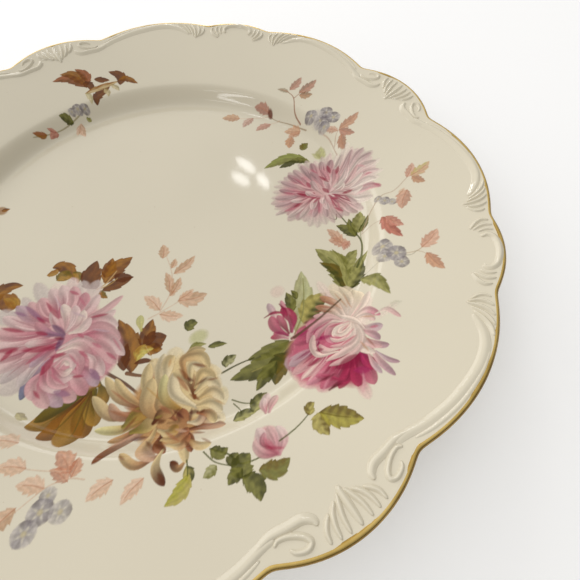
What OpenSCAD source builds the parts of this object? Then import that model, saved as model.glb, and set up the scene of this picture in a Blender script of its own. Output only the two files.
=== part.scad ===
// Open porcelain serving bowl: shallow well, sloping flange, moulded scroll rim,
// gilt edge and flower transfers. Millimetres, +Z up, origin under the centre of the foot.

/* [Well] */
// Radius of the flat well floor
well_r = 84; // [80:1:86]
// Thickness of the well floor
floor_t = 4.5; // [3:0.5:6]
// Radius where the steep side of the well meets the flange
side_r = 92.5; // [90:0.5:95]
// Height of the steep side of the well
side_h = 8; // [6:0.5:10]

/* [Flange and rim] */
// Height of the rim above the well floor
rim_h = 19.3; // [16:0.1:26]
// Radius to the tip of the lobes on the axes
axis_lobe_r = 131.8; // [131:0.1:133]
// Radius to the tip of the wide lobes
wide_lobe_r = 132.5; // [131.5:0.1:133]
// Radius to the tip of the small lobes on the diagonals
small_lobe_r = 132.4; // [131.5:0.1:133]
// Radius at which an axis lobe and a wide lobe cross
deep_notch_r = 126.8; // [126:0.1:128]
// Radius at which a small lobe and a wide lobe cross
shallow_notch_r = 129.5; // [129:0.1:130]
// How far the glaze fills each notch between lobes
notch_fill = 0.6; // [0.3:0.1:1]
// Wall thickness of the flange
flange_t = 3.2; // [2.4:0.1:4]

/* [Foot] */
// Height of the foot ring below the floor
foot_h = 4; // [3:0.5:6]
// Outer radius of the foot ring
foot_r = 78; // [72:1:80]
// Width of the foot ring where it meets the floor
foot_w = 5; // [4:0.5:7]
// Width of the unglazed face that the bowl stands on
contact_w = 2.6; // [2:0.1:3.4]

/* [Decoration] */
// Height of the moulded relief above the flange
relief_h = 0.9; // [0.6:0.1:1.2]
// Width of a relief rib
rib_w = 1.2; // [0.8:0.1:1.4]
// Width of the gilt band on top of the rim
gilt_w = 1.4; // [1.2:0.1:2.2]
// Thickness of the gilding and of the flower transfers
film_t = 0.12; // [0.1:0.01:0.2]

/* [Hidden] */
$fn = 64;
floor_z = foot_h + floor_t;
rim_z = floor_z + rim_h;
// Nominal radius at which the flange reaches rim_h
rim_r = 131.9;
// The outline is cut from a blank of this radius
blank_r = 136;
flange_slope = (rim_h - side_h) / (rim_r - side_r);
// Half the angle that an axis lobe spans, and the angles of the other notch and the wide lobe's tip
axis_half_angle = 10.75;
small_notch_angle = 37.5;
wide_tip_angle = 27.5;
side_steps = 8;

// ---- Profile of the upper surface ----

// Rise of the well's steep side: level at the floor, on the flange's slope at the top
function side_rise(u) =
    side_h * (3 * u * u - 2 * u * u * u) + flange_slope * (side_r - well_r) * (u * u * u - u * u);
function flange_z(r) = floor_z + side_h + flange_slope * (r - side_r);
function side_points(lift) = [
    for (i = [0 : side_steps])
        let (u = i / side_steps)
        [well_r + u * (side_r - well_r), floor_z + side_rise(u) + lift]
];
// Upper surface from the centre to the blank's edge, raised by lift
function upper_surface(lift) =
    concat([[0, floor_z + lift]], side_points(lift), [[blank_r, flange_z(blank_r) + lift]]);
function lower_surface() = [
    [blank_r, flange_z(blank_r) - flange_t],
    [side_r + 4, flange_z(side_r + 4) - flange_t],
    [side_r, floor_z + side_h - flange_t - 1.6],
    [well_r + 2.5, floor_z - 1.6],
    [foot_r + 1.5, foot_h],
    [0, foot_h]
];
function reversed(list) = [for (i = [len(list) - 1 : -1 : 0]) list[i]];
// A skin of the given thickness lying on the upper surface
module surface_skin(thickness) {
    rotate_extrude($fn = 180) polygon(concat(upper_surface(0), reversed(upper_surface(thickness))));
}

// ---- Outline of the rim ----

function polar(r, a) = [r * cos(a), r * sin(a)];
// Centre and radius of the circle through three points
function circle_through(p, q, s) =
    let (
        d = 2 * (p.x * (q.y - s.y) + q.x * (s.y - p.y) + s.x * (p.y - q.y)),
        pp = p * p,
        qq = q * q,
        ss = s * s,
        cx = (pp * (q.y - s.y) + qq * (s.y - p.y) + ss * (p.y - q.y)) / d,
        cy = (pp * (s.x - q.x) + qq * (p.x - s.x) + ss * (q.x - p.x)) / d
    )
    [cx, cy, norm(p - [cx, cy])];
deep_notch = polar(deep_notch_r, axis_half_angle);
shallow_notch = polar(shallow_notch_r, small_notch_angle);
axis_lobe = circle_through(polar(deep_notch_r, -axis_half_angle), [axis_lobe_r, 0], deep_notch);
wide_lobe = circle_through(deep_notch, polar(wide_lobe_r, wide_tip_angle), shallow_notch);
small_lobe = circle_through(
    shallow_notch, polar(small_lobe_r, 45), polar(shallow_notch_r, 90 - small_notch_angle));
// Distance from the centre to a circle of the outline, along the angle a
function reach(c, a) =
    let (along = c.x * cos(a) + c.y * sin(a))
    along + sqrt(max(0, along * along - c.x * c.x - c.y * c.y + c[2] * c[2]));
// The farther of two distances, with the corner between them rounded
function blended(p, q) = (p + q) / 2 + sqrt((p - q) * (p - q) / 4 + notch_fill * notch_fill);
function folded(a) = let (m = (a % 90 + 90) % 90) m > 45 ? 90 - m : m;
function rim_radius(a) =
    let (f = folded(a))
    blended(reach(wide_lobe, f), reach(f < wide_tip_angle ? axis_lobe : small_lobe, f));
// Angles of the outline's corners over a quarter, each lobe divided evenly
function divided(from, to, steps) = [for (i = [0 : steps - 1]) from + (to - from) * i / steps];
quarter_angles = concat(
    divided(-axis_half_angle, axis_half_angle, 10),
    divided(axis_half_angle, small_notch_angle, 12),
    divided(small_notch_angle, 90 - small_notch_angle, 8),
    divided(90 - small_notch_angle, 90 - axis_half_angle, 12)
);
// The scalloped outline, drawn in by inset
module outline(inset) {
    polygon([
        for (quarter = [0 : 90 : 270], a = quarter_angles)
            polar(rim_radius(a) - inset, a + quarter)
    ]);
}
module outline_column(inset) {
    linear_extrude(height = rim_z + 10) outline(inset);
}
// A point on the flange, at the angle a and the distance inset inside the rim
function at_rim(a, inset) = polar(rim_radius(a) - inset, a);

// ---- Strokes: ribs and stems of changing width along a smooth line ----

function spline(a, b, c, d, u) =
    0.5 * (2 * b + (c - a) * u + (2 * a - 5 * b + 4 * c - d) * u * u
        + (3 * b - a - 3 * c + d) * u * u * u);
function smooth_line(p, steps) = [
    for (i = [0 : len(p) - 2], k = [0 : steps - 1])
        spline(p[max(i - 1, 0)], p[i], p[i + 1], p[min(i + 2, len(p) - 1)], k / steps),
    p[len(p) - 1]
];
function side_of(line, i, width) =
    let (
        last = len(line) - 1,
        along = line[min(i + 1, last)] - line[max(i - 1, 0)],
        across = [-along.y, along.x] / norm(along),
        u = i / last,
        half = width / 2 * (0.35 + 0.65 * sqrt(max(0, 4 * u * (1 - u))))
    )
    across * half;
module stroke(points, width, steps = 4) {
    line = smooth_line(points, steps);
    polygon(concat(
        [for (i = [0 : len(line) - 1]) line[i] + side_of(line, i, width)],
        [for (i = [len(line) - 1 : -1 : 0]) line[i] - side_of(line, i, width)]
    ));
}
// A rib whose points are given as [angle, inset]
module rib(places, width = rib_w) {
    stroke([for (place = places) at_rim(place[0], place[1])], width, 3);
}

// ---- Moulded relief on the flange ----

module relief() {
    intersection() {
        translate([0, 0, floor_z]) linear_extrude(height = rim_h + 6) children();
        rotate_extrude($fn = 180) polygon([
            [side_r, flange_z(side_r)],
            [blank_r, flange_z(blank_r)],
            [blank_r, flange_z(blank_r) + relief_h],
            [side_r, flange_z(side_r) + relief_h]
        ]);
    }
}
module four_times() {
    for (quarter = [0 : 90 : 270]) rotate(quarter) children();
}
// Both sides of each axis lobe
module eight_times() {
    four_times() {
        children();
        mirror([0, 1]) children();
    }
}

// ---- Flower transfers, drawn flat ----

module lens(length, width) {
    radius = (length * length + width * width) / (4 * width);
    intersection() {
        translate([length / 2, radius - width / 2]) circle(r = radius);
        translate([length / 2, width / 2 - radius]) circle(r = radius);
    }
}
// A leaf blade from its stalk end, pointing along the angle
module leaf(place, length, width, angle) {
    translate(place) rotate(angle) lens(length, width);
}
module chrysanthemum(place, radius, petals) {
    translate(place) {
        circle(r = radius * 0.74);
        for (i = [0 : petals - 1]) rotate(i * 360 / petals)
            translate([radius * 0.45, 0]) lens(radius * (0.46 + 0.1 * (i % 2)), radius * 0.3);
    }
}
module forget_me_not(place, radius) {
    translate(place) for (i = [0 : 4]) rotate(i * 72 + 18)
        translate([radius * 0.52, 0]) circle(r = radius * 0.48);
}
// A sprig: a stem with a leaf at each [distance along x and y, length, width, angle]
module sprig(stem, leaves) {
    stroke(stem, 0.9);
    for (l = leaves) leaf([l[0], l[1]], l[2], l[3], l[4]);
}
module transfer() {
    intersection() {
        translate([0, 0, floor_z - 1]) linear_extrude(height = rim_h + 6) children();
        surface_skin(film_t);
    }
}
module pink_flower() {
    chrysanthemum([-58, -24], 25, 15);
}
module tan_flower() {
    chrysanthemum([-32, -70], 25, 13);
}
module magenta_flower() {
    chrysanthemum([31, -80], 22, 14);
}
module lilac_flower() {
    chrysanthemum([71, -18], 22, 16);
}

// ---- Sub-parts ----

module bowl_body() {
    color("ivory") intersection() {
        rotate_extrude($fn = 180) polygon(concat(upper_surface(0), lower_surface()));
        outline_column(film_t);
    }
}
module foot_ring() {
    shoulder = (foot_w - contact_w) / 2;
    color("wheat") rotate_extrude($fn = 180) polygon([
        [foot_r - foot_w, foot_h],
        [foot_r - foot_w + shoulder * 0.6, foot_h * 0.3],
        [foot_r - foot_w + shoulder, 0],
        [foot_r - shoulder, 0],
        [foot_r - shoulder * 0.6, foot_h * 0.3],
        [foot_r, foot_h]
    ]);
}
module gilt_edge() {
    color("goldenrod") {
        intersection() {
            difference() {
                outline_column(0);
                outline_column(film_t);
            }
            rotate_extrude($fn = 180) polygon([
                [side_r + 10, flange_z(side_r + 10) - flange_t],
                [blank_r, flange_z(blank_r) - flange_t],
                [blank_r, flange_z(blank_r) + film_t],
                [side_r + 10, flange_z(side_r + 10) + film_t]
            ]);
        }
        intersection() {
            difference() {
                outline_column(film_t);
                outline_column(gilt_w);
            }
            surface_skin(film_t);
        }
    }
}
module palmettes() {
    color("ivory") relief() four_times() {
        rib([[0, 3], [0, 8], [0, 13]], 1.6);
        for (side = [-1, 1]) {
            rib([[1.9 * side, 2.6], [1.7 * side, 6.5], [0.9 * side, 10.4]]);
            rib([[3.6 * side, 2.6], [3.3 * side, 6], [2.2 * side, 9.3]]);
            rib([[5.2 * side, 2.8], [4.9 * side, 5.4], [3.9 * side, 7.8]]);
        }
    }
}
module rim_curls() {
    color("ivory") relief() eight_times()
        rib([[8.6, 5.9], [7.2, 6.4], [6.4, 5.2], [7.1, 3.9], [8.6, 4.2]], 1.1);
}
module ribbon_ridges() {
    color("ivory") relief() eight_times() rib([
        [5.6, 9.4], [8, 8], [11, 5.4], [15, 4.9], [20, 3.9], [25, 3.4], [29, 4], [31, 5.6]
    ], 2.2);
}
module feather_fans() {
    color("ivory") relief() eight_times() {
        rib([[29.6, 2.2], [31.4, 4], [32.8, 6.6], [33.8, 9]]);
        rib([[31.7, 2.2], [32.8, 4.2], [33.9, 6.4]], 1);
        rib([[34.3, 2.6], [34.7, 5], [34.8, 10.2]], 1.3);
        rib([[36, 3.4], [36.1, 6], [35.6, 9.2]], 1);
    }
}
module rim_arches() {
    color("ivory") relief() four_times() rotate(45)
        rib([[-3.1, 8], [-3.3, 5], [-2.1, 3], [0, 2.5], [2.1, 3], [3.3, 5], [3.1, 8]], 1.5);
}
module arch_fronds() {
    color("ivory") relief() four_times() {
        for (side = [-1, 1]) {
            rib([[45 + 6.3 * side, 3.2], [45 + 6.2 * side, 6.5], [45 + 4.9 * side, 9.9]]);
            rib([[45 + 4.9 * side, 3.2], [45 + 4.9 * side, 5.6], [45 + 4.4 * side, 7.8]], 1);
        }
    }
}
module pink_chrysanthemum() {
    color("pink") transfer() pink_flower();
}
module tan_chrysanthemum() {
    color("burlywood") transfer() difference() {
        tan_flower();
        pink_flower();
    }
}
module magenta_chrysanthemum() {
    color("mediumvioletred") transfer() magenta_flower();
}
module lilac_chrysanthemum() {
    color("orchid") transfer() lilac_flower();
}
module brown_leaves() {
    color("saddlebrown") transfer() difference() {
        union() {
            leaf([-40, -16], 24, 12, 20);
            leaf([-38, -14], 20, 10, 50);
            leaf([-46, -4], 13, 7, 80);
            leaf([-66, -8], 18, 8, 80);
            leaf([-38, -38], 22, 12, -30);
            leaf([-60, -44], 22, 11, 250);
            leaf([-56, -50], 24, 11, 200);
            leaf([-10, -56], 12, 5, 10);
        }
        pink_flower();
        tan_flower();
    }
}
module garland_leaves() {
    color("olivedrab") transfer() difference() {
        union() {
            stroke([[-8, -72], [14, -72], [32, -66], [50, -62], [62, -52], [67, -40], [68, -28]], 1.1);
            leaf([20, -72], 30, 10, 188);
            leaf([24, -66], 18, 9, 50);
            leaf([30, -66], 14, 8, 75);
            leaf([55, -62], 22, 9, 110);
            leaf([56, -63.5], 17, 6, 258);
            leaf([62, -50], 16, 7, 95);
            leaf([64.6, -50.2], 15, 7, 45);
            leaf([76, 0], 22, 7, 155);
            leaf([78, 6], 7, 5, 60);
        }
        magenta_flower();
        lilac_flower();
    }
}
module bud_spray() {
    color("palevioletred") transfer() difference() {
        union() {
            sprig([[-14, -99], [0, -101], [12, -98]], [[2, -101, 15, 6, -20], [12, -98, 9, 5, 70]]);
            leaf([-18, -96], 14, 7, 190);
            leaf([-22, -102], 12, 6, 215);
            leaf([-20, -92], 12, 5, 120);
            translate([-9, -100]) circle(r = 5.6);
            translate([-2, -87]) circle(r = 3.8);
            leaf([-5, -88], 7, 3, 190);
        }
        tan_flower();
    }
}
module inner_sprig() {
    color("lightsalmon") transfer() sprig(
        [[-17, -37], [-10, -28], [-6, -20], [-5, -14]],
        [
            [-17, -37, 8, 4, 215], [-13, -33, 10, 4, 140], [-11, -31, 11, 4, 330],
            [-8, -25, 9, 4, 150], [-7, -22, 11, 4, 12], [-5, -15, 9, 4, 75]
        ]
    );
}
module upper_sprig() {
    color("darksalmon") transfer() {
        sprig([[80, 12], [85, 24], [92, 36], [96, 44]], [
            [83, 20, 11, 5, 170], [86, 26, 12, 5, 20], [89, 31, 10, 5, 110],
            [93, 38, 10, 5, 5], [96, 44, 10, 5, 70], [95, 43, 9, 4, 130]
        ]);
        sprig([[83, 30], [76, 38], [68, 45], [62, 50]], [
            [77, 37, 9, 4, 225], [74, 40, 9, 4, 90], [68, 45, 9, 4, 200], [62, 50, 9, 4, 120]
        ]);
        sprig([[88, 6], [92, 4], [96, 3]], [[93, 4, 10, 5, 255], [96, 3, 11, 5, 15]]);
    }
}
module side_sprig() {
    color("salmon") transfer() sprig([[72, -46], [82, -42], [92, -43], [98, -43]], [
        [98, -43, 10, 5, -15], [96, -43, 8, 4, -75], [97, -42, 8, 4, 40], [92, -44, 9, 4, 215]
    ]);
}
module lower_sprig() {
    color("sandybrown") transfer() {
        leaf([-72, -58], 9, 5, 110);
        leaf([-74, -66], 10, 5, 160);
        leaf([-62, -66], 9, 5, 250);
        leaf([-64, -72], 9, 5, 300);
        leaf([-56, -82], 9, 4, 160);
        leaf([-50, -86], 9, 4, 300);
    }
}
module rim_leaf_spray() {
    color("sienna") transfer() {
        leaf([10, 100], 18, 8, 150);
        leaf([6, 98], 14, 7, 105);
        leaf([10, 100], 20, 9, -25);
        leaf([8, 98], 12, 7, -60);
        leaf([-8, 89], 12, 5, 195);
        leaf([-9, 86], 9, 4, 255);
    }
}
module far_spray() {
    color("rosybrown") transfer() {
        chrysanthemum([-86, 66], 14, 12);
        leaf([-92, 52], 16, 8, 250);
        leaf([-74, 78], 16, 7, 55);
        leaf([-72, 68], 14, 6, 15);
        leaf([-100, 62], 12, 6, 195);
    }
}
module forget_me_nots() {
    color("cornflowerblue") transfer() {
        forget_me_not([66, -64], 4);
        forget_me_not([68, -71], 4);
        forget_me_not([80, -45], 2.4);
        forget_me_not([89, 16], 4.4);
        forget_me_not([95, 12], 4);
        forget_me_not([-5, 91], 3);
        forget_me_not([-68, -81], 4);
    }
}

bowl_body();
foot_ring();
gilt_edge();
palmettes();
rim_curls();
ribbon_ridges();
feather_fans();
rim_arches();
arch_fronds();
pink_chrysanthemum();
tan_chrysanthemum();
magenta_chrysanthemum();
lilac_chrysanthemum();
brown_leaves();
garland_leaves();
bud_spray();
inner_sprig();
upper_sprig();
side_sprig();
lower_sprig();
rim_leaf_spray();
far_spray();
forget_me_nots();
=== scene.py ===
import math

import bpy
import numpy as np
from mathutils import Matrix, Vector


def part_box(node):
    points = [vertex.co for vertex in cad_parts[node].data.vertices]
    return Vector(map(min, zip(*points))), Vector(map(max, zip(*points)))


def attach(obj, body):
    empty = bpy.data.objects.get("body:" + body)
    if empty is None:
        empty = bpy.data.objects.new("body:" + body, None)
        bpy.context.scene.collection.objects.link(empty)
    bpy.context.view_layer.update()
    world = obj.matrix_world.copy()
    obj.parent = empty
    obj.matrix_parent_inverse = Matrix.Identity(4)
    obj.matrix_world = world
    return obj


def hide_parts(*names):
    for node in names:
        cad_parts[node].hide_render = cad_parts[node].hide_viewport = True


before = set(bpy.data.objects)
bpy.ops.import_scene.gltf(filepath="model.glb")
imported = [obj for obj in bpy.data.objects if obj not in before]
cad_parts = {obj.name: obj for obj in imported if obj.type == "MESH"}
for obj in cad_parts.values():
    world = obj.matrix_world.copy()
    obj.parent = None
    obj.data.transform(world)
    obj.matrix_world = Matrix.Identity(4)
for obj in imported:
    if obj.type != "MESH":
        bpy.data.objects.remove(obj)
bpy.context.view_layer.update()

# ---------------------------------------------------------------- Dimensions, in millimetres
# The names and values are the driving dimensions of the CAD part. Meshes are made in
# millimetres and written in metres.
MM = 0.001
WELL_R = 84.0
SIDE_R = 92.5
SIDE_H = 8.0
RIM_H = 19.3
RIM_R = 131.9
AXIS_LOBE_R = 131.8
WIDE_LOBE_R = 132.5
SMALL_LOBE_R = 132.4
DEEP_NOTCH_R = 126.8
SHALLOW_NOTCH_R = 129.5
# How far the glaze fills each notch between lobes
NOTCH_FILL = 0.6
AXIS_HALF_ANGLE = 10.75
SMALL_NOTCH_ANGLE = 37.5
WIDE_TIP_ANGLE = 27.5
FLANGE_T = 3.2
FOOT_R = 78.0
FOOT_W = 5.0
FOOT_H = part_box("foot_ring")[1].z / MM
FLOOR_T = 4.5
FLOOR_Z = FOOT_H + FLOOR_T
FLANGE_SLOPE = (RIM_H - SIDE_H) / (RIM_R - SIDE_R)
# How far the fired floor has settled at its centre
FLOOR_SAG = 0.25
# Thickness of the rim's edge, which is rounded over its whole thickness
LIP_T = 2.3
# How far the rounded edge stands inside the rim's outline
LIP_INSET = 0.15
# Extra glaze under the flange
UNDER_GLAZE = 0.2


# ---------------------------------------------------------------- Surface of the bowl
def surface_z(radius):
    """Height of the glazed upper surface at a distance from the axis."""
    r = np.asarray(radius, float)
    run = SIDE_R - WELL_R
    u = np.clip((r - WELL_R) / run, 0.0, 1.0)
    side = SIDE_H * (3 * u**2 - 2 * u**3) + FLANGE_SLOPE * run * (u**3 - u**2)
    flange = SIDE_H + FLANGE_SLOPE * (r - SIDE_R)
    sag = FLOOR_SAG * (1.0 - np.clip(r / WELL_R, 0.0, 1.0) ** 2)
    return FLOOR_Z + np.where(r > SIDE_R, flange, side) - sag


def polar(radius, degrees):
    a = math.radians(degrees)
    return (radius * math.cos(a), radius * math.sin(a))


def circle_through(p, q, s):
    """Centre and radius of the circle through three points."""
    d = 2 * (p[0] * (q[1] - s[1]) + q[0] * (s[1] - p[1]) + s[0] * (p[1] - q[1]))
    pp, qq, ss = (x[0] ** 2 + x[1] ** 2 for x in (p, q, s))
    cx = (pp * (q[1] - s[1]) + qq * (s[1] - p[1]) + ss * (p[1] - q[1])) / d
    cy = (pp * (s[0] - q[0]) + qq * (p[0] - s[0]) + ss * (q[0] - p[0])) / d
    return cx, cy, math.hypot(p[0] - cx, p[1] - cy)


DEEP_NOTCH = polar(DEEP_NOTCH_R, AXIS_HALF_ANGLE)
SHALLOW_NOTCH = polar(SHALLOW_NOTCH_R, SMALL_NOTCH_ANGLE)
LOBES = (
    circle_through(polar(DEEP_NOTCH_R, -AXIS_HALF_ANGLE), (AXIS_LOBE_R, 0.0), DEEP_NOTCH),
    circle_through(DEEP_NOTCH, polar(WIDE_LOBE_R, WIDE_TIP_ANGLE), SHALLOW_NOTCH),
    circle_through(
        SHALLOW_NOTCH,
        polar(SMALL_LOBE_R, 45),
        polar(SHALLOW_NOTCH_R, 90 - SMALL_NOTCH_ANGLE),
    ),
)


def rim_radius(degrees):
    """Distance from the axis to the scalloped rim, at each angle."""
    a = np.mod(np.asarray(degrees, float), 90.0)
    a = np.where(a > 45.0, 90.0 - a, a)
    found = []
    for cx, cy, radius in LOBES:
        along = cx * np.cos(np.radians(a)) + cy * np.sin(np.radians(a))
        found.append(along + np.sqrt(np.maximum(along**2 - cx**2 - cy**2 + radius**2, 0.0)))
    beside = np.where(a < WIDE_TIP_ANGLE, found[0], found[2])
    middle, apart = (found[1] + beside) / 2, (found[1] - beside) / 2
    return middle + np.sqrt(apart**2 + NOTCH_FILL**2)


def quarter_angles(axis_steps, wide_steps, small_steps):
    """Angles over a quarter turn, with one on every notch."""
    stops = (
        (-AXIS_HALF_ANGLE, AXIS_HALF_ANGLE, axis_steps),
        (AXIS_HALF_ANGLE, SMALL_NOTCH_ANGLE, wide_steps),
        (SMALL_NOTCH_ANGLE, 90 - SMALL_NOTCH_ANGLE, small_steps),
        (90 - SMALL_NOTCH_ANGLE, 90 - AXIS_HALF_ANGLE, wide_steps),
    )
    return np.concatenate([np.linspace(a, b, n, endpoint=False) for a, b, n in stops])


QUARTER = quarter_angles(48, 56, 32)
TURN = np.concatenate([QUARTER + 90 * k for k in range(4)])
COS, SIN = np.cos(np.radians(TURN)), np.sin(np.radians(TURN))
RIM = rim_radius(TURN)


# ---------------------------------------------------------------- Mesh helpers
def new_piece(name, points, faces, materials, smooth=True):
    """A mesh object from points in millimetres."""
    mesh = bpy.data.meshes.new(name)
    mesh.from_pydata((np.asarray(points, float) * MM).tolist(), [], faces)
    for material in materials:
        mesh.materials.append(material)
    if smooth:
        mesh.shade_smooth()
    mesh.update()
    piece = bpy.data.objects.new(name, mesh)
    bpy.context.scene.collection.objects.link(piece)
    return piece


def ring_faces(rings, count, closed_section=False):
    """Quads that join rings of count points; a closed section joins the last to the first."""
    faces = []
    pairs = [(i, i + 1) for i in range(rings - 1)]
    if closed_section:
        pairs.append((rings - 1, 0))
    for i, j in pairs:
        for k in range(count):
            n = (k + 1) % count
            faces.append((i * count + k, i * count + n, j * count + n, j * count + k))
    return faces


def smooth_line(points, steps):
    """A Catmull-Rom line through the points."""
    p = np.asarray(points, float)
    p = np.vstack([2 * p[0] - p[1], p, 2 * p[-1] - p[-2]])
    u = np.linspace(0, 1, steps, endpoint=False)[:, None]
    spans = []
    for a, b, c, d in zip(p, p[1:], p[2:], p[3:]):
        spans.append(
            0.5 * (2 * b + (c - a) * u + (2 * a - 5 * b + 4 * c - d) * u**2
                   + (3 * b - a - 3 * c + d) * u**3)
        )
    return np.vstack(spans + [p[-2][None, :]])


def stand_for(piece, slot, *nodes):
    """The piece rides on the bowl's one body, in place of the CAD nodes named."""
    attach(piece, "root")
    if nodes:
        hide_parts(*nodes)
    return piece


# ---------------------------------------------------------------- Materials
IVORY = (0.655, 0.596, 0.466)
# What the bare glaze and the enamel over it add to their colours by reflecting the room
GLAZE_SHEEN = 0.035
ENAMEL_SHEEN = 0.014


def linear(red, green, blue):
    """Scene colour from a screen colour in 0 to 255."""
    screen = np.array([red, green, blue], float) / 255
    low = screen / 12.92
    high = ((screen + 0.055) / 1.055) ** 2.4
    return np.where(screen <= 0.04045, low, high)


class Nodes:
    """A short way to write a material's node tree."""

    def __init__(self, name):
        self.material = bpy.data.materials.new(name)
        self.material.use_nodes = True
        self.tree = self.material.node_tree
        self.shader = self.tree.nodes["Principled BSDF"]

    def add(self, kind, **settings):
        node = self.tree.nodes.new("ShaderNode" + kind)
        for key, value in settings.items():
            setattr(node, key, value)
        return node

    def link(self, source, target):
        self.tree.links.new(source, target)

    def noise(self, scale, detail=2.0, roughness=0.5):
        place = self.add("TexCoord")
        node = self.add("TexNoise")
        node.inputs["Scale"].default_value = scale
        node.inputs["Detail"].default_value = detail
        node.inputs["Roughness"].default_value = roughness
        self.link(place.outputs["Object"], node.inputs["Vector"])
        return node.outputs["Fac"]

    def ramp(self, source, stops):
        node = self.add("ValToRGB")
        elements = node.color_ramp.elements
        while len(elements) < len(stops):
            elements.new(0.5)
        for element, (place, colour) in zip(elements, stops):
            element.position = place
            element.color = (*colour, 1.0)
        self.link(source, node.inputs["Fac"])
        return node.outputs["Color"]

    def mix(self, share, first, second, blend="MIX"):
        node = self.add("Mix", data_type="RGBA", blend_type=blend)
        for index, value in ((0, share), (6, first), (7, second)):
            socket = node.inputs[index]
            if isinstance(value, bpy.types.NodeSocket):
                self.link(value, socket)
            elif isinstance(value, (int, float)):
                socket.default_value = value
            else:
                socket.default_value = (*value, 1.0)
        return node.outputs[2]

    def bump(self, height, strength, distance):
        node = self.add("Bump")
        node.inputs["Strength"].default_value = strength
        node.inputs["Distance"].default_value = distance
        self.link(height, node.inputs["Height"])
        self.link(node.outputs["Normal"], self.shader.inputs["Normal"])
        return node

    def finish(self, roughness, ior=1.5, metallic=0.0):
        self.shader.inputs["Roughness"].default_value = roughness
        self.shader.inputs["IOR"].default_value = ior
        self.shader.inputs["Metallic"].default_value = metallic
        return self.material


def glaze_colour(nodes):
    """Ivory glaze, a little uneven in depth over a hand's breadth, with faint iron specks."""
    deeper = tuple(0.965 * c for c in IVORY)
    paler = tuple(1.03 * c for c in IVORY)
    cloud = nodes.ramp(nodes.noise(9.0, 3.0), [(0.30, deeper), (0.50, IVORY), (0.72, paler)])
    specks = nodes.ramp(nodes.noise(900.0, 1.0, 0.3), [
        (0.10, (0.60, 0.50, 0.36)), (0.20, (1.0, 1.0, 1.0)),
    ])
    return nodes.mix(0.5, cloud, specks, "MULTIPLY")


def glaze_material():
    nodes = Nodes("ivory_glaze")
    nodes.link(glaze_colour(nodes), nodes.shader.inputs["Base Color"])
    nodes.bump(nodes.noise(55.0, 1.0), 0.05, 0.0006)
    return nodes.finish(roughness=0.06)


def foot_material():
    """Glaze down the foot's sides, and the bare, finely grained body where it stands."""
    nodes = Nodes("foot_porcelain")
    place = nodes.add("TexCoord")
    split = nodes.add("SeparateXYZ")
    nodes.link(place.outputs["Object"], split.inputs["Vector"])
    edge = nodes.add("MapRange")
    edge.inputs["From Min"].default_value = 0.0002
    edge.inputs["From Max"].default_value = 0.0007
    nodes.link(split.outputs["Z"], edge.inputs["Value"])
    grain = nodes.noise(2600.0, 2.0)
    bare = nodes.ramp(grain, [(0.3, (0.56, 0.50, 0.40)), (0.7, (0.70, 0.66, 0.57))])
    colour = nodes.mix(edge.outputs["Result"], bare, glaze_colour(nodes))
    nodes.link(colour, nodes.shader.inputs["Base Color"])
    shine = nodes.add("MapRange")
    shine.inputs["To Min"].default_value = 0.75
    shine.inputs["To Max"].default_value = 0.10
    nodes.link(edge.outputs["Result"], shine.inputs["Value"])
    nodes.link(shine.outputs["Result"], nodes.shader.inputs["Roughness"])
    nodes.bump(grain, 0.15, 0.0002)
    return nodes.finish(roughness=0.1)


def gilt_material():
    """Burnished gold, worn thinner and browner in patches where hands have held the rim, with
    painted shade and reflection: darker brown where the rounded edge turns between facing up and
    facing out, brighter gold where it faces straight up or straight out.
    """
    nodes = Nodes("rim_gold")
    worn = nodes.noise(70.0, 4.0, 0.6)
    # Dark worn gold in patches, also used as the painted shade on the rounded edge
    rubbed_and_shaded_gold = nodes.ramp(worn, [
        (0.30, (0.16, 0.090, 0.018)), (0.47, (0.25, 0.150, 0.032)), (0.72, (0.38, 0.240, 0.060)),
    ])
    bright = nodes.ramp(worn, [(0.30, (0.42, 0.28, 0.075)), (0.65, (0.66, 0.48, 0.17))])
    # Painted reflection and shade: the colour follows the direction the gold faces, dark brown
    # where the edge rounds over and bright gold where it faces straight up or straight out
    facing = nodes.add("SeparateXYZ")
    nodes.link(nodes.add("NewGeometry").outputs["Normal"], facing.inputs[0])
    crest_painted_shade = nodes.ramp(facing.outputs["Z"], [
        (0.15, (0, 0, 0)), (0.50, (1, 1, 1)), (0.80, (0.9, 0.9, 0.9)), (0.985, (0, 0, 0)),
    ])
    nodes.link(nodes.mix(crest_painted_shade, bright, rubbed_and_shaded_gold), nodes.shader.inputs["Base Color"])
    shine = nodes.add("MapRange")
    shine.inputs["To Min"].default_value = 0.34
    shine.inputs["To Max"].default_value = 0.16
    nodes.link(worn, shine.inputs["Value"])
    nodes.link(shine.outputs["Result"], nodes.shader.inputs["Roughness"])
    nodes.bump(nodes.noise(420.0, 2.0), 0.18, 0.0002)
    return nodes.finish(roughness=0.3, metallic=1.0)


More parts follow.
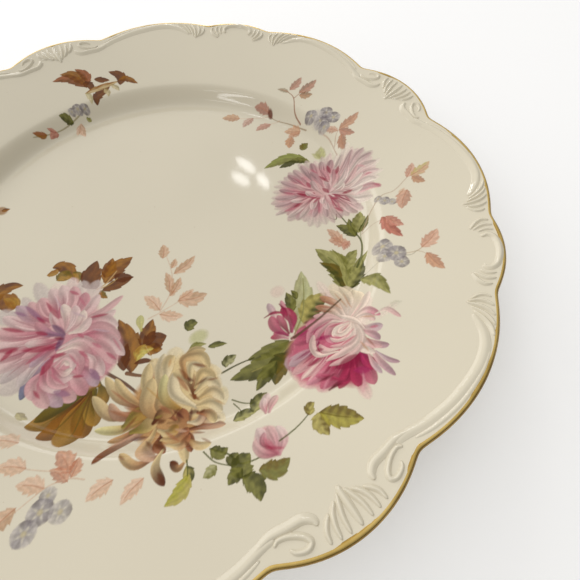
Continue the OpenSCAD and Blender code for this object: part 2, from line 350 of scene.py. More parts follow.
def enamel_material(name):
    """Fired-on enamel: the painted colour where the film is, fading into bare glaze at its edge."""
    nodes = Nodes(name)
    paint = nodes.add("VertexColor", layer_name="paint")
    grain = nodes.ramp(nodes.noise(1500.0, 2.0),
                       [(0.3, (0.93, 0.93, 0.93)), (0.7, (1.06, 1.06, 1.06))])
    painted = nodes.mix(1.0, paint.outputs["Color"], grain, "MULTIPLY")
    edge = nodes.add("MapRange")
    edge.inputs["From Max"].default_value = 0.2
    nodes.link(paint.outputs["Alpha"], edge.inputs["Value"])
    colour = nodes.mix(edge.outputs["Result"], glaze_colour(nodes), painted)
    nodes.link(colour, nodes.shader.inputs["Base Color"])
    sheen = nodes.add("MapRange")
    sheen.inputs["From Max"].default_value = 0.3
    sheen.inputs["To Min"].default_value = 0.5
    sheen.inputs["To Max"].default_value = 0.12
    nodes.link(paint.outputs["Alpha"], sheen.inputs["Value"])
    nodes.link(sheen.outputs["Result"], nodes.shader.inputs["Specular IOR Level"])
    nodes.bump(nodes.noise(55.0, 1.0), 0.05, 0.0006)
    return nodes.finish(roughness=0.08)


GLAZE = glaze_material()
FOOT = foot_material()
GOLD = gilt_material()


# ---------------------------------------------------------------- Body, foot and gilding
# How far the gilding reaches in from the rim's outline, and half its film's thickness
GILT_W = 1.9
GILT_FILM = 0.05


def lip_section(rim, lift=0.0, steps=9):
    """Points round the rim's edge, from its upper face over and under, pushed out by lift."""
    half = LIP_T / 2
    centre_r = rim - half - LIP_INSET
    centre_z = surface_z(centre_r) - half
    turns = np.linspace(math.pi / 2 + 0.25, -math.pi / 2, steps)
    return [
        (centre_r + (half + lift) * math.cos(t), centre_z + (half + lift) * math.sin(t))
        for t in turns
    ]


def lip_rings(sections, indices):
    """(radius, height) arrays through the points of these indices in every rim section."""
    return [
        (np.array([p[i][0] for p in sections]), np.array([p[i][1] for p in sections]))
        for i in indices
    ]


def body_rings():
    """(radius, height) arrays round the turn, from the centre over the rim to the underside."""
    count = len(TURN)
    rings = []
    for r in (1.0, 4, 10, 18, 27, 36, 45, 54, 62, 69, 75, 79, 82):
        rings.append((np.full(count, r), np.full(count, float(surface_z(r)))))
    for r in np.linspace(WELL_R, SIDE_R, 17):
        rings.append((np.full(count, r), np.full(count, float(surface_z(r)))))
    inner_rim = RIM - LIP_T
    for s in np.linspace(0, 1, 17)[1:]:
        r = SIDE_R + (inner_rim - SIDE_R) * s
        rings.append((r, surface_z(r)))
    lip = [lip_section(r) for r in RIM]
    rings += lip_rings(lip, range(len(lip[0])))
    under_r = rings[-1][0]
    join_r = SIDE_R + 5.0
    for s in np.linspace(0, 1, 9)[1:]:
        r = under_r + (join_r - under_r) * s
        deep = LIP_T + (FLANGE_T + UNDER_GLAZE - LIP_T) * s
        rings.append((r, surface_z(r) - deep))
    below = smooth_line([
        (join_r, float(surface_z(join_r)) - FLANGE_T - UNDER_GLAZE),
        (SIDE_R + 0.5, FLOOR_Z + 3.7),
        (WELL_R + 3.5, FLOOR_Z - 1.6),
        (FOOT_R + 3.2, FOOT_H + 0.7),
        (FOOT_R - 0.6, FOOT_H),
    ], 6)[1:]
    for r, z in below:
        rings.append((np.full(count, r), np.full(count, z)))
    for r in (FOOT_R - FOOT_W, 66.0, 50.0, 30.0, 12.0, 1.0):
        rings.append((np.full(count, r), np.full(count, FOOT_H)))
    return rings


def ring_points(rings):
    return np.concatenate([np.column_stack([r * COS, r * SIN, z]) for r, z in rings])


def make_body():
    rings = body_rings()
    count = len(TURN)
    points = ring_points(rings)
    faces = [tuple(reversed(f)) for f in ring_faces(len(rings), count)]
    top, bottom = len(points), len(points) + 1
    points = np.vstack([points, [0, 0, surface_z(0.0)], [0, 0, FOOT_H]])
    last = (len(rings) - 1) * count
    for k in range(count):
        n = (k + 1) % count
        faces.append((top, k, n))
        faces.append((bottom, last + n, last + k))
    piece = new_piece("porcelain_body", points, faces, [GLAZE])
    return stand_for(piece, "porcelain_glaze", "bowl_body")


def make_foot():
    inner, outer = FOOT_R - FOOT_W, FOOT_R
    section = smooth_line([
        (outer + 0.4, FOOT_H + 0.25), (outer - 0.15, FOOT_H * 0.55), (outer - 0.75, 0.45),
        (outer - 1.25, 0.0), (outer - 2.4, 0.0), (inner + 1.25, 0.0),
        (inner + 0.75, 0.45), (inner + 0.15, FOOT_H * 0.55), (inner - 0.4, FOOT_H + 0.25),
    ], 4)
    section[:, 1] = np.maximum(section[:, 1], 0.0)
    count = len(TURN)
    rings = [(np.full(count, r), np.full(count, z)) for r, z in section]
    faces = [tuple(reversed(f)) for f in ring_faces(len(rings), count, closed_section=True)]
    piece = new_piece("foot_ring_porcelain", ring_points(rings), faces, [FOOT])
    return stand_for(piece, "foot_porcelain", "foot_ring")


def make_gilding(random):
    """A brushed band over the rim, with the slightly uneven inner line of handwork."""
    wave = np.sin(np.radians(TURN * 23)) * np.sin(np.radians(TURN * 7 + 40))
    inner_width = GILT_W - LIP_T / 2 + 0.14 * wave
    inner_width += np.convolve(random.normal(0, 0.08, len(TURN)), np.ones(5) / 5, "same")
    inner_width = np.maximum(inner_width, 0.06)
    film = GILT_FILM
    rows = []
    for s in (0.0, 0.5):
        r = RIM - LIP_T / 2 - inner_width * (1 - s)
        rows.append((r, surface_z(r) + film * (1 if s else 0.4)))
    lips = [lip_section(r, lift=film, steps=11) for r in RIM]
    rows += lip_rings(lips, range(1, 10))
    outside = len(rows)
    inner_lips = [lip_section(r, lift=-film, steps=11) for r in RIM]
    rows += lip_rings(inner_lips, range(9, 0, -1))
    for s in (0.5, 0.0):
        r = RIM - LIP_T / 2 - inner_width * (1 - s)
        rows.append((r, surface_z(r) - film))
    assert len(rows) == 2 * outside
    faces = [tuple(reversed(f)) for f in ring_faces(len(rows), len(TURN), closed_section=True)]
    piece = new_piece("gilt_band", ring_points(rows), faces, [GOLD])
    return stand_for(piece, "gilding", "gilt_edge")


# ---------------------------------------------------------------- Moulded relief
def at_rim(degrees, inset):
    """A point on the flange, at an angle and a distance inside the rim."""
    r = float(rim_radius(degrees)) - inset
    return polar(r, degrees)


class Relief:
    """Ribs of one motif, gathered into one mesh. Each rib is a closed, rounded bar whose edges
    run out level with the glaze, as a moulded line does under its glaze."""

    def __init__(self, name, node):
        self.name, self.node = name, node
        self.points, self.faces = [], []

    def rib(self, places, width, height, lean=0.0, start=0.25, end=0.25):
        """places are [angle, inset]; width and height are the rib's greatest, and start and end
        the shares of them kept at its tips; lean moves its crest off its middle line."""
        line = smooth_line([at_rim(*p) for p in places], 7)
        along = np.gradient(line, axis=0)
        along /= np.linalg.norm(along, axis=1)[:, None]
        across = np.column_stack([-along[:, 1], along[:, 0]])
        u = np.linspace(0, 1, len(line))
        belly = np.sqrt(np.clip(4 * u * (1 - u), 0, 1))
        ends = start + (end - start) * u
        size = ends + (1 - ends) * belly
        v = np.linspace(-1, 1, 11)
        bent = v + lean * (1 - v**2)
        bump = (1 - v**2) ** 1.6
        first = len(self.points)
        for i, place in enumerate(line):
            half = width / 2 * 1.5 * size[i]
            for w, h in zip(bent, bump):
                x, y = place + across[i] * half * w
                z = float(surface_z(math.hypot(x, y))) + height * size[i] * h - 0.03
                self.points.append((x, y, z))
        rows, cols = len(line), len(v)
        for i in range(rows):
            for j in range(cols):
                x, y, z = self.points[first + i * cols + j]
                self.points.append((x, y, float(surface_z(math.hypot(x, y))) - 0.5))
        under = first + rows * cols
        for i in range(rows - 1):
            for j in range(cols - 1):
                a, b = i * cols + j, (i + 1) * cols + j
                self.faces.append((first + a, first + b, first + b + 1, first + a + 1))
                self.faces.append((under + a + 1, under + b + 1, under + b, under + a))
            for j in (0, cols - 1):
                a, b = i * cols + j, (i + 1) * cols + j
                wall = (first + a, under + a, under + b, first + b)
                self.faces.append(wall if j == 0 else tuple(reversed(wall)))
        for i in (0, rows - 1):
            for j in range(cols - 1):
                a = i * cols + j
                wall = (first + a, first + a + 1, under + a + 1, under + a)
                self.faces.append(wall if i == 0 else tuple(reversed(wall)))

    def both_sides(self, middle, places, *sizes, **ends):
        """The rib and its mirror image about the angle middle."""
        for side in (1, -1):
            self.rib([(middle + side * a, i) for a, i in places], *sizes, **ends)

    def make(self):
        piece = new_piece(self.name, self.points, self.faces, [GLAZE])
        return stand_for(piece, "porcelain_glaze", self.node)


def make_palmettes():
    relief = Relief("palmette_relief", "palmettes")
    for middle in (0, 90, 180, 270):
        relief.rib([(middle, 2.4), (middle, 7), (middle, 10.5), (middle, 13.0)], 1.7, 0.9)
        relief.both_sides(middle, [(1.5, 2.4), (1.4, 6), (1.0, 9), (0.5, 11.6)], 1.25, 0.8)
        relief.both_sides(middle, [(2.7, 2.4), (2.6, 5.6), (2.1, 8.4), (1.3, 10.4)], 1.25, 0.8)
        relief.both_sides(middle, [(3.9, 2.5), (3.8, 5.0), (3.3, 7.0), (2.6, 8.6)], 1.2, 0.75)
    return relief.make()


def make_curls():
    relief = Relief("curl_relief", "rim_curls")
    for middle in (0, 90, 180, 270):
        relief.both_sides(
            middle,
            [(9.7, 5.0), (9.0, 6.4), (7.6, 6.9), (6.2, 6.1), (5.7, 4.6), (6.4, 3.3), (7.6, 3.2),
             (8.2, 4.0)],
            1.3, 0.8, start=0.4,
        )
    return relief.make()


def make_ridges():
    """The ribbon along each wide lobe, and the hooked scroll that it ends in by the deep notch."""
    relief = Relief("ribbon_relief", "ribbon_ridges")
    for middle in (0, 90, 180, 270):
        relief.both_sides(
            middle,
            [(9.4, 7.0), (11.4, 5.6), (14.5, 4.9), (19, 4.3), (24, 3.6), (27.4, 3.5), (29.6, 4.4),
             (31.2, 6.0), (32.8, 8.2)],
            2.4, 0.68, lean=0.16, start=0.5, end=0.25,
        )
        relief.both_sides(
            middle, [(11.6, 3.5), (14.6, 3.0), (19, 2.6), (24, 2.3), (27.6, 2.2)],
            1.2, 0.42, start=0.3, end=0.3,
        )
        relief.both_sides(
            middle, [(12.4, 5.6), (10.0, 7.2), (7.6, 8.9), (5.6, 9.9), (4.5, 9.0), (4.2, 7.4)],
            2.0, 0.85, lean=-0.12, start=0.3, end=0.3,
        )
    return relief.make()


def make_fans():
    relief = Relief("feather_relief", "feather_fans")
    for middle in (0, 90, 180, 270):
        relief.both_sides(middle, [(29.9, 1.8), (31.2, 3.0), (32.4, 5.2), (33.4, 8.0)], 1.2, 0.75)
        relief.both_sides(middle, [(31.6, 1.8), (32.6, 3.4), (33.4, 5.8), (34.0, 8.8)], 1.15, 0.75)
        relief.both_sides(middle, [(33.2, 1.8), (34.0, 4), (34.4, 6.6), (34.6, 10.2)], 1.2, 0.85)
        relief.both_sides(middle, [(34.8, 2.0), (35.3, 4), (35.4, 6.4), (34.9, 9.6)], 1.15, 0.8)
        relief.both_sides(middle, [(36.2, 2.6), (36.5, 4.4), (36.2, 6.6), (35.3, 8.8)], 1.0, 0.65)
    return relief.make()


def make_arches():
    relief = Relief("arch_relief", "rim_arches")
    for middle in (45, 135, 225, 315):
        relief.rib(
            [(middle + a, i) for a, i in (
                (-2.9, 7.2), (-3.3, 6.0), (-3.3, 4.6), (-2.6, 3.3), (-1.4, 2.7), (0, 2.5),
                (1.4, 2.7), (2.6, 3.3), (3.3, 4.6), (3.3, 6.0), (2.9, 7.2))],
            1.8, 0.95, lean=0.12, start=0.45, end=0.45,
        )
    return relief.make()


def make_fronds():
    relief = Relief("frond_relief", "arch_fronds")
    for middle in (45, 135, 225, 315):
        relief.both_sides(middle, [(6.3, 2.8), (6.5, 5.0), (5.9, 7.4), (4.6, 10)], 1.25, 0.8)
        relief.both_sides(middle, [(5.2, 2.4), (5.4, 4.6), (5.1, 6.8), (4.4, 9.2)], 1.15, 0.75)
        relief.both_sides(middle, [(4.2, 2.8), (4.4, 4.6), (4.3, 6.2), (3.9, 8.0)], 1.0, 0.65)
    return relief.make()


# ---------------------------------------------------------------- Painting tools
# The enamels are painted on a plan of the bowl, one sample every STEP millimetres, stroke over
# stroke, and each spray then becomes a thin skin that carries its painted colours.
STEP = 0.25
PLAN_EDGE = 116.0
AXIS = np.arange(-PLAN_EDGE, PLAN_EDGE + STEP / 2, STEP)
# The glaze as the eye sees it, against which the seen enamel colours are given
SEEN_GLAZE = linear(208, 200, 177)


def enamel(red, green, blue):
    """Surface colour of an enamel that looks this screen colour beside the glaze."""
    seen = (np.array(IVORY) + GLAZE_SHEEN) * linear(red, green, blue) / SEEN_GLAZE
    return np.clip(seen - ENAMEL_SHEEN, 0.004, 0.84)


def ease(value):
    value = np.clip(value, 0.0, 1.0)
    return value * value * (3 - 2 * value)


def petal_outline(u):
    """Half width along a strap petal: narrow at its root, fullest past its middle, soft tip."""
    taper = np.clip(1 - (np.maximum(u - 0.60, 0) / 0.40) ** 2.6, 0, 1) ** 0.65
    return (0.30 + 0.70 * ease(u / 0.60)) * taper


def wedge_outline(u):
    return np.sin(np.pi * np.clip(u, 0, 1)) ** 0.75


def leaf_outline(u):
    return np.sin(np.pi * np.clip(u, 0, 1) ** 0.82) ** 0.85


def stem_outline(u):
    return 1.0 - 0.35 * u


class Painting:
    def __init__(self, seed):
        size = len(AXIS)
        self.colour = np.tile(np.array(IVORY), (size, size, 1))
        self.cover = np.zeros((size, size))
        self.owner = np.full((size, size), -1)
        self.group = 0
        self.random = np.random.default_rng(seed)

    def near(self, line, reach):
        """The samples round a line: their window, share of its length, and signed distance."""
        (x0, y0), (x1, y1) = line.min(0) - reach, line.max(0) + reach
        columns = slice(*np.searchsorted(AXIS, (x0, x1)))
        rows = slice(*np.searchsorted(AXIS, (y0, y1)))
        x, y = np.meshgrid(AXIS[columns], AXIS[rows])
        run = np.diff(line, axis=0)
        length = np.maximum(np.linalg.norm(run, axis=1), 1e-6)
        before = np.concatenate([[0], np.cumsum(length)])
        dx, dy = x[..., None] - line[:-1, 0], y[..., None] - line[:-1, 1]
        share = np.clip((dx * run[:, 0] + dy * run[:, 1]) / length**2, 0, 1)
        gap = np.hypot(dx - share * run[:, 0], dy - share * run[:, 1])
        k = gap.argmin(-1)[..., None]
        gap = np.take_along_axis(gap, k, -1)[..., 0]
        side = np.take_along_axis(run[:, 0] * dy - run[:, 1] * dx, k, -1)[..., 0]
        along = (before[k[..., 0]] + np.take_along_axis(share, k, -1)[..., 0] * length[k[..., 0]])
        return (rows, columns), along / before[-1], np.sign(side) * gap

    def lay(self, window, colour, cover):
        """Paint colour over what is there, as strongly as cover says."""
        a = cover[..., None]
        self.colour[window] = self.colour[window] * (1 - a) + colour * a
        owner = self.owner[window]
        owner[(cover > 0.25) | ((owner < 0) & (cover > 0.004))] = self.group
        self.cover[window] += (1 - self.cover[window]) * cover

    def stroke(self, points, width, root, tip, outline=petal_outline, soft=0.45, strength=1.0,
               dark_side=0.16, streaks=2.2, streak=0.10, rim=0.0, shadow=0.0):
        """One brush stroke. dark_side shades one edge, and streak is the depth of its lines;
        rim lightens (or with a minus darkens) both edges, and shadow darkens the paint round it."""
        line = smooth_line(points, 7)
        window, u, off = self.near(line, width * 0.7 + soft + 0.5)
        half = width / 2 * outline(u)
        v = np.clip(off / np.maximum(half, 0.08), -1.5, 1.5)
        cover = ease((half - np.abs(off)) / soft + 0.5) * strength
        root, tip = enamel(*root), enamel(*tip)
        if shadow:
            near = ease((half + 0.5 - np.abs(off)) / 0.9) * (u < 0.97) * self.cover[window]
            self.colour[window] *= (1 - shadow * near)[..., None] ** np.array([0.75, 1.0, 1.0])
        tint = ease((u - 0.08) / 0.84)[..., None]
        phase = self.random.uniform(0, 2 * np.pi)
        lines = np.cos(v * np.pi * streaks + phase + 1.2 * np.sin(u * 3.0 + phase))
        tone = 1 - dark_side * ease(0.5 + 0.6 * v)
        tone = tone + streak * lines * np.sin(np.pi * np.clip(u, 0, 1))
        tone = tone + rim * ease((np.abs(v) - 0.45) / 0.5)
        colour = (root * (1 - tint) + tip * tint) * tone[..., None]
        self.lay(window, np.clip(colour, 0.004, 0.84), cover)

    def blob(self, x, y, wide, tall, colour, soft=3.0, strength=1.0, turn=0.0):
        """A soft round dab."""
        reach = max(wide, tall) / 2 + soft
        rows = slice(*np.searchsorted(AXIS, (y - reach, y + reach)))
        columns = slice(*np.searchsorted(AXIS, (x - reach, x + reach)))
        gx, gy = np.meshgrid(AXIS[columns] - x, AXIS[rows] - y)
        c, s = math.cos(math.radians(turn)), math.sin(math.radians(turn))
        px, py = gx * c + gy * s, gy * c - gx * s
        r = np.hypot(px / wide * 2, py / tall * 2)
        cover = ease((1 - r) * min(wide, tall) / 2 / soft + 0.5) * strength
        self.lay((rows, columns), enamel(*colour), cover)

    def petals(self, palette, rows, hairs=0, deepen=0.84, **style):
        """Strokes from rows of: root x, y, tip x, y, bend, width, root colour, tip colour.
        Each may carry a few hairs, fine lines along it in a lighter tip colour or in a deeper
        root colour, which deepen darkens."""
        for x0, y0, x1, y1, bend, width, root, tip in rows:
            across = np.array([y0 - y1, x1 - x0], float)
            middle = np.array([x0 + x1, y0 + y1]) / 2 + bend * across
            line = np.array([(x0, y0), middle, (x1, y1)])
            self.stroke(line, width * 0.9, palette[root], palette[tip], **style)
            across /= np.linalg.norm(across)
            for _ in range(hairs):
                shift = self.random.uniform(-0.26, 0.26) * width * across
                begin, stop = self.random.uniform(0.05, 0.3), self.random.uniform(0.6, 0.92)
                part = smooth_line(line, 10)
                part = part[int(begin * len(part)): int(stop * len(part)): 4]
                if len(part) < 3:
                    continue
                spread = np.ones((len(part), 1))
                spread[0] = 0.35
                part = part + shift * spread
                light = self.random.random() < 0.5
                tone = palette[tip] if light else palette[root]
                tone = tuple(np.clip(np.array(tone) * (1.07 if light else deepen), 0, 228))
                self.stroke(part, self.random.uniform(0.35, 0.75), tone, tone,
                            outline=wedge_outline, soft=0.35, strength=0.55, dark_side=0, streak=0)

    def curls(self, palette, rows, **style):
        """Strokes from rows of: x, y of each point from root to tip, width, root and tip colour."""
        for *places, width, root, tip in rows:
            points = list(zip(places[::2], places[1::2]))
            self.stroke(points, width, palette[root], palette[tip], **style)

    def shadows(self, palette, rows, strength=0.72, soft=0.9, thin=0.85):
        """Dark accents from rows of: x, y to x, y, width, colour."""
        for x0, y0, x1, y1, width, colour in rows:
            tone = palette[colour]
            self.stroke([(x0, y0), (x1, y1)], width * thin, tone, tone, outline=wedge_outline,
                        soft=soft, strength=strength, dark_side=0, streak=0.0)

    def stem(self, points, width, colour, end=None, strength=0.9):
        self.stroke(points, width, colour, end or colour, outline=stem_outline, soft=0.3,
                    strength=strength, dark_side=0.25, streak=0.0)

    def leaf(self, points, width, light, dark, teeth=5, depth=0.22, vein=None, soft=0.35,
             strength=0.95, flip=False, streak=0.10):
        """A pointed leaf from its stalk to its tip: one half in shade, toothed edges that point
        forward, a midrib and side veins."""
        line = smooth_line(points, 8)
        window, u, off = self.near(line, width * 0.75 + 1.0)
        phase = self.random.uniform(0, 1)
        tooth = np.mod(u * teeth + phase + 0.35 * (off > 0), 1.0)
        half = width / 2 * leaf_outline(u) * (1 + depth * (tooth - 0.6) * (teeth > 0))
        v = off / np.maximum(half, 0.08)
        cover = ease((half - np.abs(off)) / soft + 0.5) * strength
        light, dark = enamel(*light), enamel(*dark)
        turned = -v if flip else v
        shade = ease(0.5 + 1.6 * turned) * 0.75 + 0.25 * ease(np.abs(v) * 1.3 - 0.3)
        veins = np.cos(2 * np.pi * (u * teeth * 1.0 - 0.45 * np.abs(v)))
        shade = np.clip(shade + 0.22 * veins, 0, 1)
        colour = light * (1 - shade[..., None]) + dark * shade[..., None]
        rub = 1 + streak * np.cos(9 * v + 14 * u + phase * 6)
        colour = colour * rub[..., None]
        self.lay(window, np.clip(colour, 0.004, 0.84), cover)
        if vein is not None:
            rib = line[: max(3, int(len(line) * 0.85))]
            self.stroke(rib[::4], max(0.35, width * 0.06), vein, vein, outline=stem_outline,
                        soft=0.3, strength=0.7, dark_side=0, streak=0)

    def leaves(self, rows):
        """Leaves from rows of: x, y of the stalk, middle and tip, width, light and dark colour,
        teeth, and True where the shaded half is on the other side."""
        for x0, y0, x1, y1, x2, y2, width, light, dark, teeth, *flip in rows:
            line = [(x0, y0), (x1, y1), (x2, y2)]
            self.leaf(line, width, light, dark, teeth=teeth, flip=bool(flip))


# ---------------------------------------------------------------- The sprays
GROUPS = (
    ("brown_leaf_enamel", "brown_leaves", "brown_enamel"),
    ("garland_leaf_enamel", "garland_leaves", "green_enamel"),
    ("pink_flower_enamel", "pink_chrysanthemum", "pink_enamel"),
    ("tan_flower_enamel", "tan_chrysanthemum", "tan_enamel"),
    ("magenta_flower_enamel", "magenta_chrysanthemum", "magenta_enamel"),
    ("lilac_flower_enamel", "lilac_chrysanthemum", "lilac_enamel"),
    ("bud_enamel_skin", "bud_spray", "bud_enamel"),
    ("inner_sprig_enamel", "inner_sprig", "salmon_enamel"),
    ("upper_sprig_enamel", "upper_sprig", "salmon_enamel"),
    ("side_sprig_enamel", "side_sprig", "salmon_enamel"),
    ("lower_sprig_enamel", "lower_sprig", "salmon_enamel"),
    ("rim_spray_enamel", "rim_leaf_spray", "brown_enamel"),
    ("far_spray_enamel", "far_spray", "salmon_enamel"),
    ("forget_me_not_enamel", "forget_me_nots", "blue_enamel"),
)
GROUP = {node: i for i, (_, node, _) in enumerate(GROUPS)}

PINKS = {
    "cream": (216, 198, 182), "pale": (208, 182, 174), "blush": (200, 160, 156),
    "pink": (188, 136, 138), "rose": (174, 104, 114), "red": (158, 74, 90),
    "crimson": (144, 42, 64), "wine": (112, 32, 52), "mauve": (176, 150, 154),
    "violet": (136, 98, 118), "plum": (96, 70, 94), "grey": (188, 174, 166),
    "blue": (104, 106, 128),
}
GREEN = (112, 110, 56)
DEEP_GREEN = (70, 70, 28)
PALE_GREEN = (150, 146, 88)
GREY_GREEN = (156, 152, 108)
YELLOW_GREEN = (164, 152, 86)
STEM_GREEN = (88, 92, 50)
BROWN = (140, 94, 38)
DEEP_BROWN = (92, 54, 10)
RED_BROWN = (110, 66, 16)
OCHRE = (156, 118, 54)
SALMON = (194, 154, 122)
DEEP_SALMON = (164, 120, 82)
PALE_SALMON = (204, 168, 140)
SLATE = (148, 141, 139)
PALE_SLATE = (184, 176, 166)
DEEP_SLATE = (116, 108, 108)
OLIVE = (104, 88, 38)


def paint_brown_leaves(p):
    p.group = GROUP["brown_leaves"]
    # Lobed leaf behind the pink flower's far side
    p.leaf([(-66, -4), (-65, 0), (-67, 6)], 8, BROWN, RED_BROWN, teeth=2)
    p.leaf([(-69, 3), (-66, 7), (-62, 7), (-58, 5)], 5.5, BROWN, DEEP_BROWN, teeth=2)
    p.leaves([
        (-62, -4, -63, -1, -66, 3, 4.5, OCHRE, BROWN, 2),
        (-70, -5, -73, 0, -76, 3, 6, BROWN, DEEP_BROWN, 3),
        (-49, 4.5, -46.5, 4.2, -43, 5, 3, OCHRE, BROWN, 2),
    ])
    p.leaf([(-46, 7), (-43, 6), (-40.5, 2), (-40.5, -4)], 5.5, BROWN, DEEP_BROWN, teeth=3,
           flip=True)
    p.leaves([
        (-46.5, 0, -43.5, 0.5, -40.5, -2, 5.5, OCHRE, OLIVE, 2),
        (-40, 0, -38.4, -2.5, -39.8, -6, 3.2, OCHRE, OLIVE, 2),
    ])
    # Dark three-lobed leaf
    p.leaves([
        (-34.5, -12.5, -34.5, -6, -29.8, 0.4, 8.4, RED_BROWN, DEEP_BROWN, 3),
        (-31, -12, -26, -8, -17, -6, 8, BROWN, RED_BROWN, 4, True),
        (-30, -9.5, -26.5, -5.5, -24, -2, 6, BROWN, RED_BROWN, 3),
        (-33, -14.5, -27, -15, -20.3, -15.2, 4.6, RED_BROWN, DEEP_BROWN, 3),
        (-26.5, -10.5, -24.5, -13, -20.5, -15.5, 4.6, DEEP_BROWN, DEEP_BROWN, 3),
        (-33.5, -14, -33.5, -16.5, -32.4, -19, 2.6, BROWN, OLIVE, 2),
    ])
    p.stem([(-34.5, -13), (-30.5, -12.2), (-25, -9)], 0.6, (196, 160, 106))
    p.stem([(-33, -13.4), (-29, -13.4), (-26, -12.4)], 0.5, (176, 142, 84))
    # Dark leaf and stalk between the two large flowers
    p.leaves([
        (-36, -52, -32.5, -42, -32.2, -30, 8.4, BROWN, DEEP_BROWN, 4),
        (-38, -50, -36.5, -46, -33, -41, 4.4, DEEP_BROWN, DEEP_BROWN, 3),
        (-29, -46.5, -25, -41, -21.5, -37, 6.2, BROWN, DEEP_BROWN, 3),
        (-29, -45.5, -24, -45.5, -20, -46, 8.2, DEEP_BROWN, RED_BROWN, 3, True),
        (-28.6, -46, -26.2, -48, -23.5, -50, 5, BROWN, DEEP_BROWN, 2),
        (-33, -49, -30, -46.5, -26, -48, 4.4, (186, 172, 92), OCHRE, 3),
    ])
    p.stroke([(-27, -39), (-26, -35.5), (-24.6, -33)], 3, (182, 172, 96), (176, 172, 104),
             strength=0.8)
    p.leaf([(-34, -49.5), (-30.5, -50.5), (-27.8, -52.6)], 2, DEEP_BROWN, DEEP_BROWN, teeth=0)
    # Rounded ochre lobes below the pink flower, greener along their top
    lobe = dict(soft=0.4, strength=0.97, dark_side=0.35, streak=0.14, streaks=1.4, shadow=0.4)
    p.stroke([(-50, -50.5), (-60, -52.6), (-70.6, -51)], 7.4, BROWN, OCHRE, **lobe)
    p.stroke([(-50, -51.5), (-60, -56), (-67.6, -57.6)], 8.4, DEEP_BROWN, BROWN, **lobe)
    p.stroke([(-51, -52), (-58.6, -58), (-62, -64.6)], 8.4, BROWN, OCHRE, **lobe)
    p.stroke([(-50, -52), (-55, -58), (-57, -64)], 7.4, OLIVE, BROWN, **lobe)
    p.stroke([(-48.6, -51), (-51.4, -56), (-52.4, -62.4)], 6.0, OLIVE, OCHRE, **lobe)
    p.stroke([(-46.6, -49.6), (-46.8, -53.6), (-48.4, -57.6)], 4.4, OLIVE, OCHRE, **lobe)
    p.stroke([(-46.6, -49), (-57, -49.4), (-68.6, -50.2)], 4.8, GREEN, OLIVE, **lobe)
    p.stroke([(-47, -50), (-50, -49), (-54, -50)], 4.4, OCHRE, OLIVE, **lobe)
    for x1, y1 in ((-67, -52.6), (-65, -57), (-60.4, -62), (-56, -61), (-51.6, -59.6)):
        p.stroke([(-49.6, -50.6), ((-49.6 + x1) / 2 - 0.6, (-50.6 + y1) / 2 - 0.8), (x1, y1)], 0.7,
                 DEEP_BROWN, OLIVE, outline=wedge_outline, soft=0.4, strength=0.7, streak=0)
    p.stem([(-43.8, -46.4), (-39.5, -54), (-37, -60), (-34.6, -65.8)], 1.3, DEEP_BROWN)
    p.stem([(-37.4, -51.4), (-35.2, -53.6), (-32.8, -55.6)], 1.5, RED_BROWN)
    p.leaf([(-72.5, -44), (-71.4, -46.5), (-70, -48.4)], 2.4, YELLOW_GREEN, OLIVE, teeth=2,
           strength=0.6)
    p.blob(-56, 50, 4.5, 5.5, BROWN, soft=1.4, strength=0.75, turn=30)
    p.leaf([(-56, 50), (-54, 49.4), (-52.4, 49)], 2.2, BROWN, DEEP_BROWN, teeth=2)


